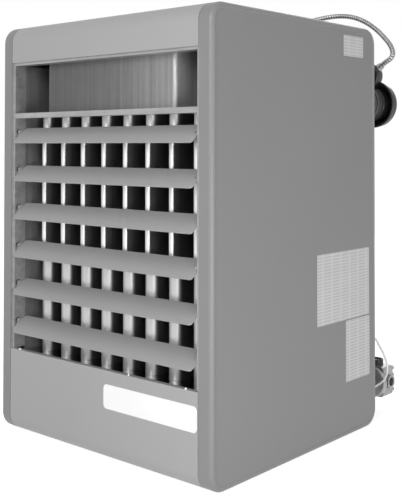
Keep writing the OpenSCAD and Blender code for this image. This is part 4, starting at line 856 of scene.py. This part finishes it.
def makeGuard(p):
    face = p["rim"] - p["bend"]
    bendY = p["faceY"] - p["bend"]
    line = [(p["eye"], p["faceY"])]
    for k in range(p["bendSteps"] + 1):
        a = math.radians(90 - 90 * k / p["bendSteps"])
        line.append((face + p["bend"] * math.cos(a), bendY + p["bend"] * math.sin(a)))
    line.append((p["rim"], p["rearY"]))
    base = bpy.data.meshes.new("spokeLine")
    base.from_pydata([(r * mm, y * mm, 0) for r, y in line], [(k, k + 1) for k in range(len(line) - 1)], [])
    step = (face - p["eye"]) / (p["faceRings"] - 1)
    wallStep = (bendY - p["rearY"]) / 2 - p["wire"]
    faceSpot, wallSpot = (0, p["faceY"], 0), (0, p["rearY"] + p["wire"], 0)
    spokes = {"Count": p["spokes"], "Wire Radius": p["wire"] * mm}
    parts = [
        fromTree("guardSpokes", base, guardSpokes, spokes, sharpAbove=40),
        wireRings("faceRings", guardRings, faceSpot, p["wire"], p["faceRings"], p["eye"], grow=step),
        wireRings("wallRings", guardRings, wallSpot, p["wire"], p["wallRings"], p["rim"], spacing=wallStep),
    ]
    bm = bmesh.new()
    for part in parts:
        bm.from_mesh(part.data)
        bpy.data.objects.remove(part)
    bmesh.ops.translate(bm, verts=bm.verts, vec=(0, 0, p["middleZ"] * mm))
    piece = fromBmesh("guardWires", bm, sharpAbove=40)
    give(piece, finishes["guard_wire"], "cabinet", ["fan_guard"])


def makeMotorBands(p):
    x, z = p["middle"]
    spot = (x, p["firstY"], z)
    piece = wireRings(
        "motorBands", motorRings, spot, p["wire"], p["count"], p["radius"], spacing=p["spacing"]
    )
    give(piece, finishes["black_enamel"], "cabinet")


makeGuard(guard)
makeMotorBands(motorBands)
print("guard and bands made")

# bare name plate and blank stickers, in mm: corners are (x, z) on the front and (y, z) on the right side
plates = {
    "badge": {"low": (27, 109), "high": (285, 158), "corner": 9, "thick": 0.9},
    "topSticker": {"low": (152, 838), "high": (231, 884.5), "corner": 1.5, "thick": 0.25},
    "largeSticker": {"low": (50, 255.5), "high": (253.5, 407), "corner": 1.5, "thick": 0.25},
    "narrowSticker": {"low": (158.5, 118), "high": (255, 252.5), "corner": 1.5, "thick": 0.25},
}
frontFace, sideFace = -282.5, 319.7
badgeSkin = {
    "tone": 0.94, "tones": (0.92, 0.95), "roughness": 0.3, "coat": 0.3, "peel": 700, "driftScale": 12,
    "bump": 0.05, "bumpDeep": 0.0001,
}
stickerSkin = {
    "tone": 0.62, "tones": (0.6, 0.64), "roughness": 0.5, "coat": 0.0, "peel": 900, "driftScale": 20,
    "bump": 0.08, "bumpDeep": 0.0001,
    "rules": (("Z", 0.0068, 0.42), ("Y", 0.034, 0.14)),  # axis, pitch, blank share of it
    "ruleTone": 0.38, "ruleStrength": 0.5,
}


def plateFinish(name, p):
    material, tree, shader = startFinish(name, p, Coat_Weight=p["coat"])
    skin = useGroup(tree, paintSkin, Peel_Scale=p["peel"], Drift_Scale=p["driftScale"])
    darker, lighter = p["tones"]
    color = blendColors(tree, skin["Tone"], grey(darker), grey(lighter))
    if "rules" in p:  # faint rules of an empty form: rows down the sheet, broken into columns
        axes = axesOf(tree, objectPlace(tree))
        ruled = p["ruleStrength"]
        for axis, pitch, blank in p["rules"]:
            place = mathNode(tree, "FRACT", mathNode(tree, "DIVIDE", axes[axis], pitch))
            ruled = times(tree, mathNode(tree, "GREATER_THAN", place, blank), ruled)
        color = blendColors(tree, ruled, color, grey(p["ruleTone"]))
    tree.links.new(color, shader.inputs["Base Color"])
    bumpFrom(tree, shader, skin["Height"], p)
    return material


def roundedPlate(name, p, place, cornerSteps=8, edgeBreak=0.35):  # place(across, up, height) puts a corner
    (x0, y0), (x1, y1) = p["low"], p["high"]
    corner, thick = p["corner"], p["thick"]
    outline = []
    for cx, cy, start in ((x1, y1, 0), (x0, y1, 90), (x0, y0, 180), (x1, y0, 270)):
        sx = -corner if cx == x1 else corner
        sy = -corner if cy == y1 else corner
        for k in range(cornerSteps + 1):
            a = math.radians(start + 90 * k / cornerSteps)
            outline.append((cx + sx + corner * math.cos(a), cy + sy + corner * math.sin(a)))
    inset = min(edgeBreak, thick / 2)
    middleX, middleY = (x0 + x1) / 2, (y0 + y1) / 2
    bm = bmesh.new()
    layers = []
    for grow, h in ((0, 0), (0, thick - inset), (-inset, thick)):
        kx, ky = 1 + 2 * grow / (x1 - x0), 1 + 2 * grow / (y1 - y0)
        spots = [place(middleX + (x - middleX) * kx, middleY + (y - middleY) * ky, h) for x, y in outline]
        layers.append([bm.verts.new(Vector(spot) * mm) for spot in spots])
    joinRings(bm, layers)
    return fromBmesh(name, bm, sharpAbove=30)


def onFront(across, up, height):
    return across, frontFace - height, up


def onSide(across, up, height):
    return sideFace + height, across, up


def makePlates(plates):
    white, paper = plateFinish("badgeWhite", badgeSkin), plateFinish("stickerPaper", stickerSkin)
    for name, p in plates.items():
        place, skin = (onFront, white) if name == "badge" else (onSide, paper)
        give(roundedPlate(name, p, place), skin, "cabinet")


makePlates(plates)
print("plates made")

# floor, backdrop and light
studio = {
    "floorSize": 40, "floorTone": 0.8, "floorGlow": 0.72, "worldLight": 0.36,
    "lamps": {
        "keyLamp": {"place": (1.0, -3.5, 2.0), "aim": (0, 0, 0.45), "size": 1.5, "power": 71},
        "edgeLamp": {"place": (2.8, 0.7, 0.8), "aim": (0.3, -0.28, 0.45), "size": 0.5, "power": 4},
        "backLamp": {"place": (-1.2, 3.6, 2.2), "aim": (0, 0.3, 0.45), "size": 2.0, "power": 42},
        "lowLamp": {"place": (1.5, -1.0, 0.28), "aim": (0.32, -0.05, 0.0), "size": 0.5, "power": 9},
    },
}


def seenByEye(tree):  # 1 for the camera's own rays and those that metal and glass pass on
    path = tree.nodes.new("ShaderNodeLightPath")
    both = mathNode(tree, "MAXIMUM", path.outputs["Is Camera Ray"], path.outputs["Is Glossy Ray"])
    return mathNode(tree, "MAXIMUM", both, path.outputs["Is Transmission Ray"])


def makeFloor(p):
    bm = bmesh.new()
    bmesh.ops.create_grid(bm, x_segments=1, y_segments=1, size=p["floorSize"])
    floor = fromBmesh("floor", bm, sharpAbove=30)
    material = bpy.data.materials.new("floorPale")
    material.use_nodes = True
    tree = material.node_tree
    tree.nodes.clear()
    out = tree.nodes.new("ShaderNodeOutputMaterial")
    matt = addNode(tree, "ShaderNodeBsdfDiffuse", Color=(*grey(p["floorTone"]), 1))
    glow = tree.nodes.new("ShaderNodeEmission")
    tree.links.new(times(tree, seenByEye(tree), p["floorGlow"]), glow.inputs["Strength"])
    both = tree.nodes.new("ShaderNodeAddShader")
    tree.links.new(matt.outputs[0], both.inputs[0])
    tree.links.new(glow.outputs[0], both.inputs[1])
    tree.links.new(both.outputs[0], out.inputs["Surface"])
    floor.data.materials.append(material)


def makeLight(p):
    world = bpy.data.worlds.new("paleRoom")
    bpy.context.scene.world = world
    world.use_nodes = True
    tree = world.node_tree
    sky = tree.nodes["Background"]
    sky.inputs["Color"].default_value = (1, 1, 1, 1)
    tree.links.new(remap(tree, seenByEye(tree), 0.0, 1.0, p["worldLight"], 1.0), sky.inputs["Strength"])
    for name, lamp in p["lamps"].items():
        data = bpy.data.lights.new(name, "AREA")
        data.shape, data.size, data.energy = "SQUARE", lamp["size"], lamp["power"]
        made = newObject(name, data)
        made.location = lamp["place"]
        beam = Vector(lamp["aim"]) - Vector(lamp["place"])
        made.rotation_euler = beam.to_track_quat("-Z", "Y").to_euler()
    bpy.context.scene.view_settings.view_transform = "Standard"


makeFloor(studio)
makeLight(studio)
print("studio lit")
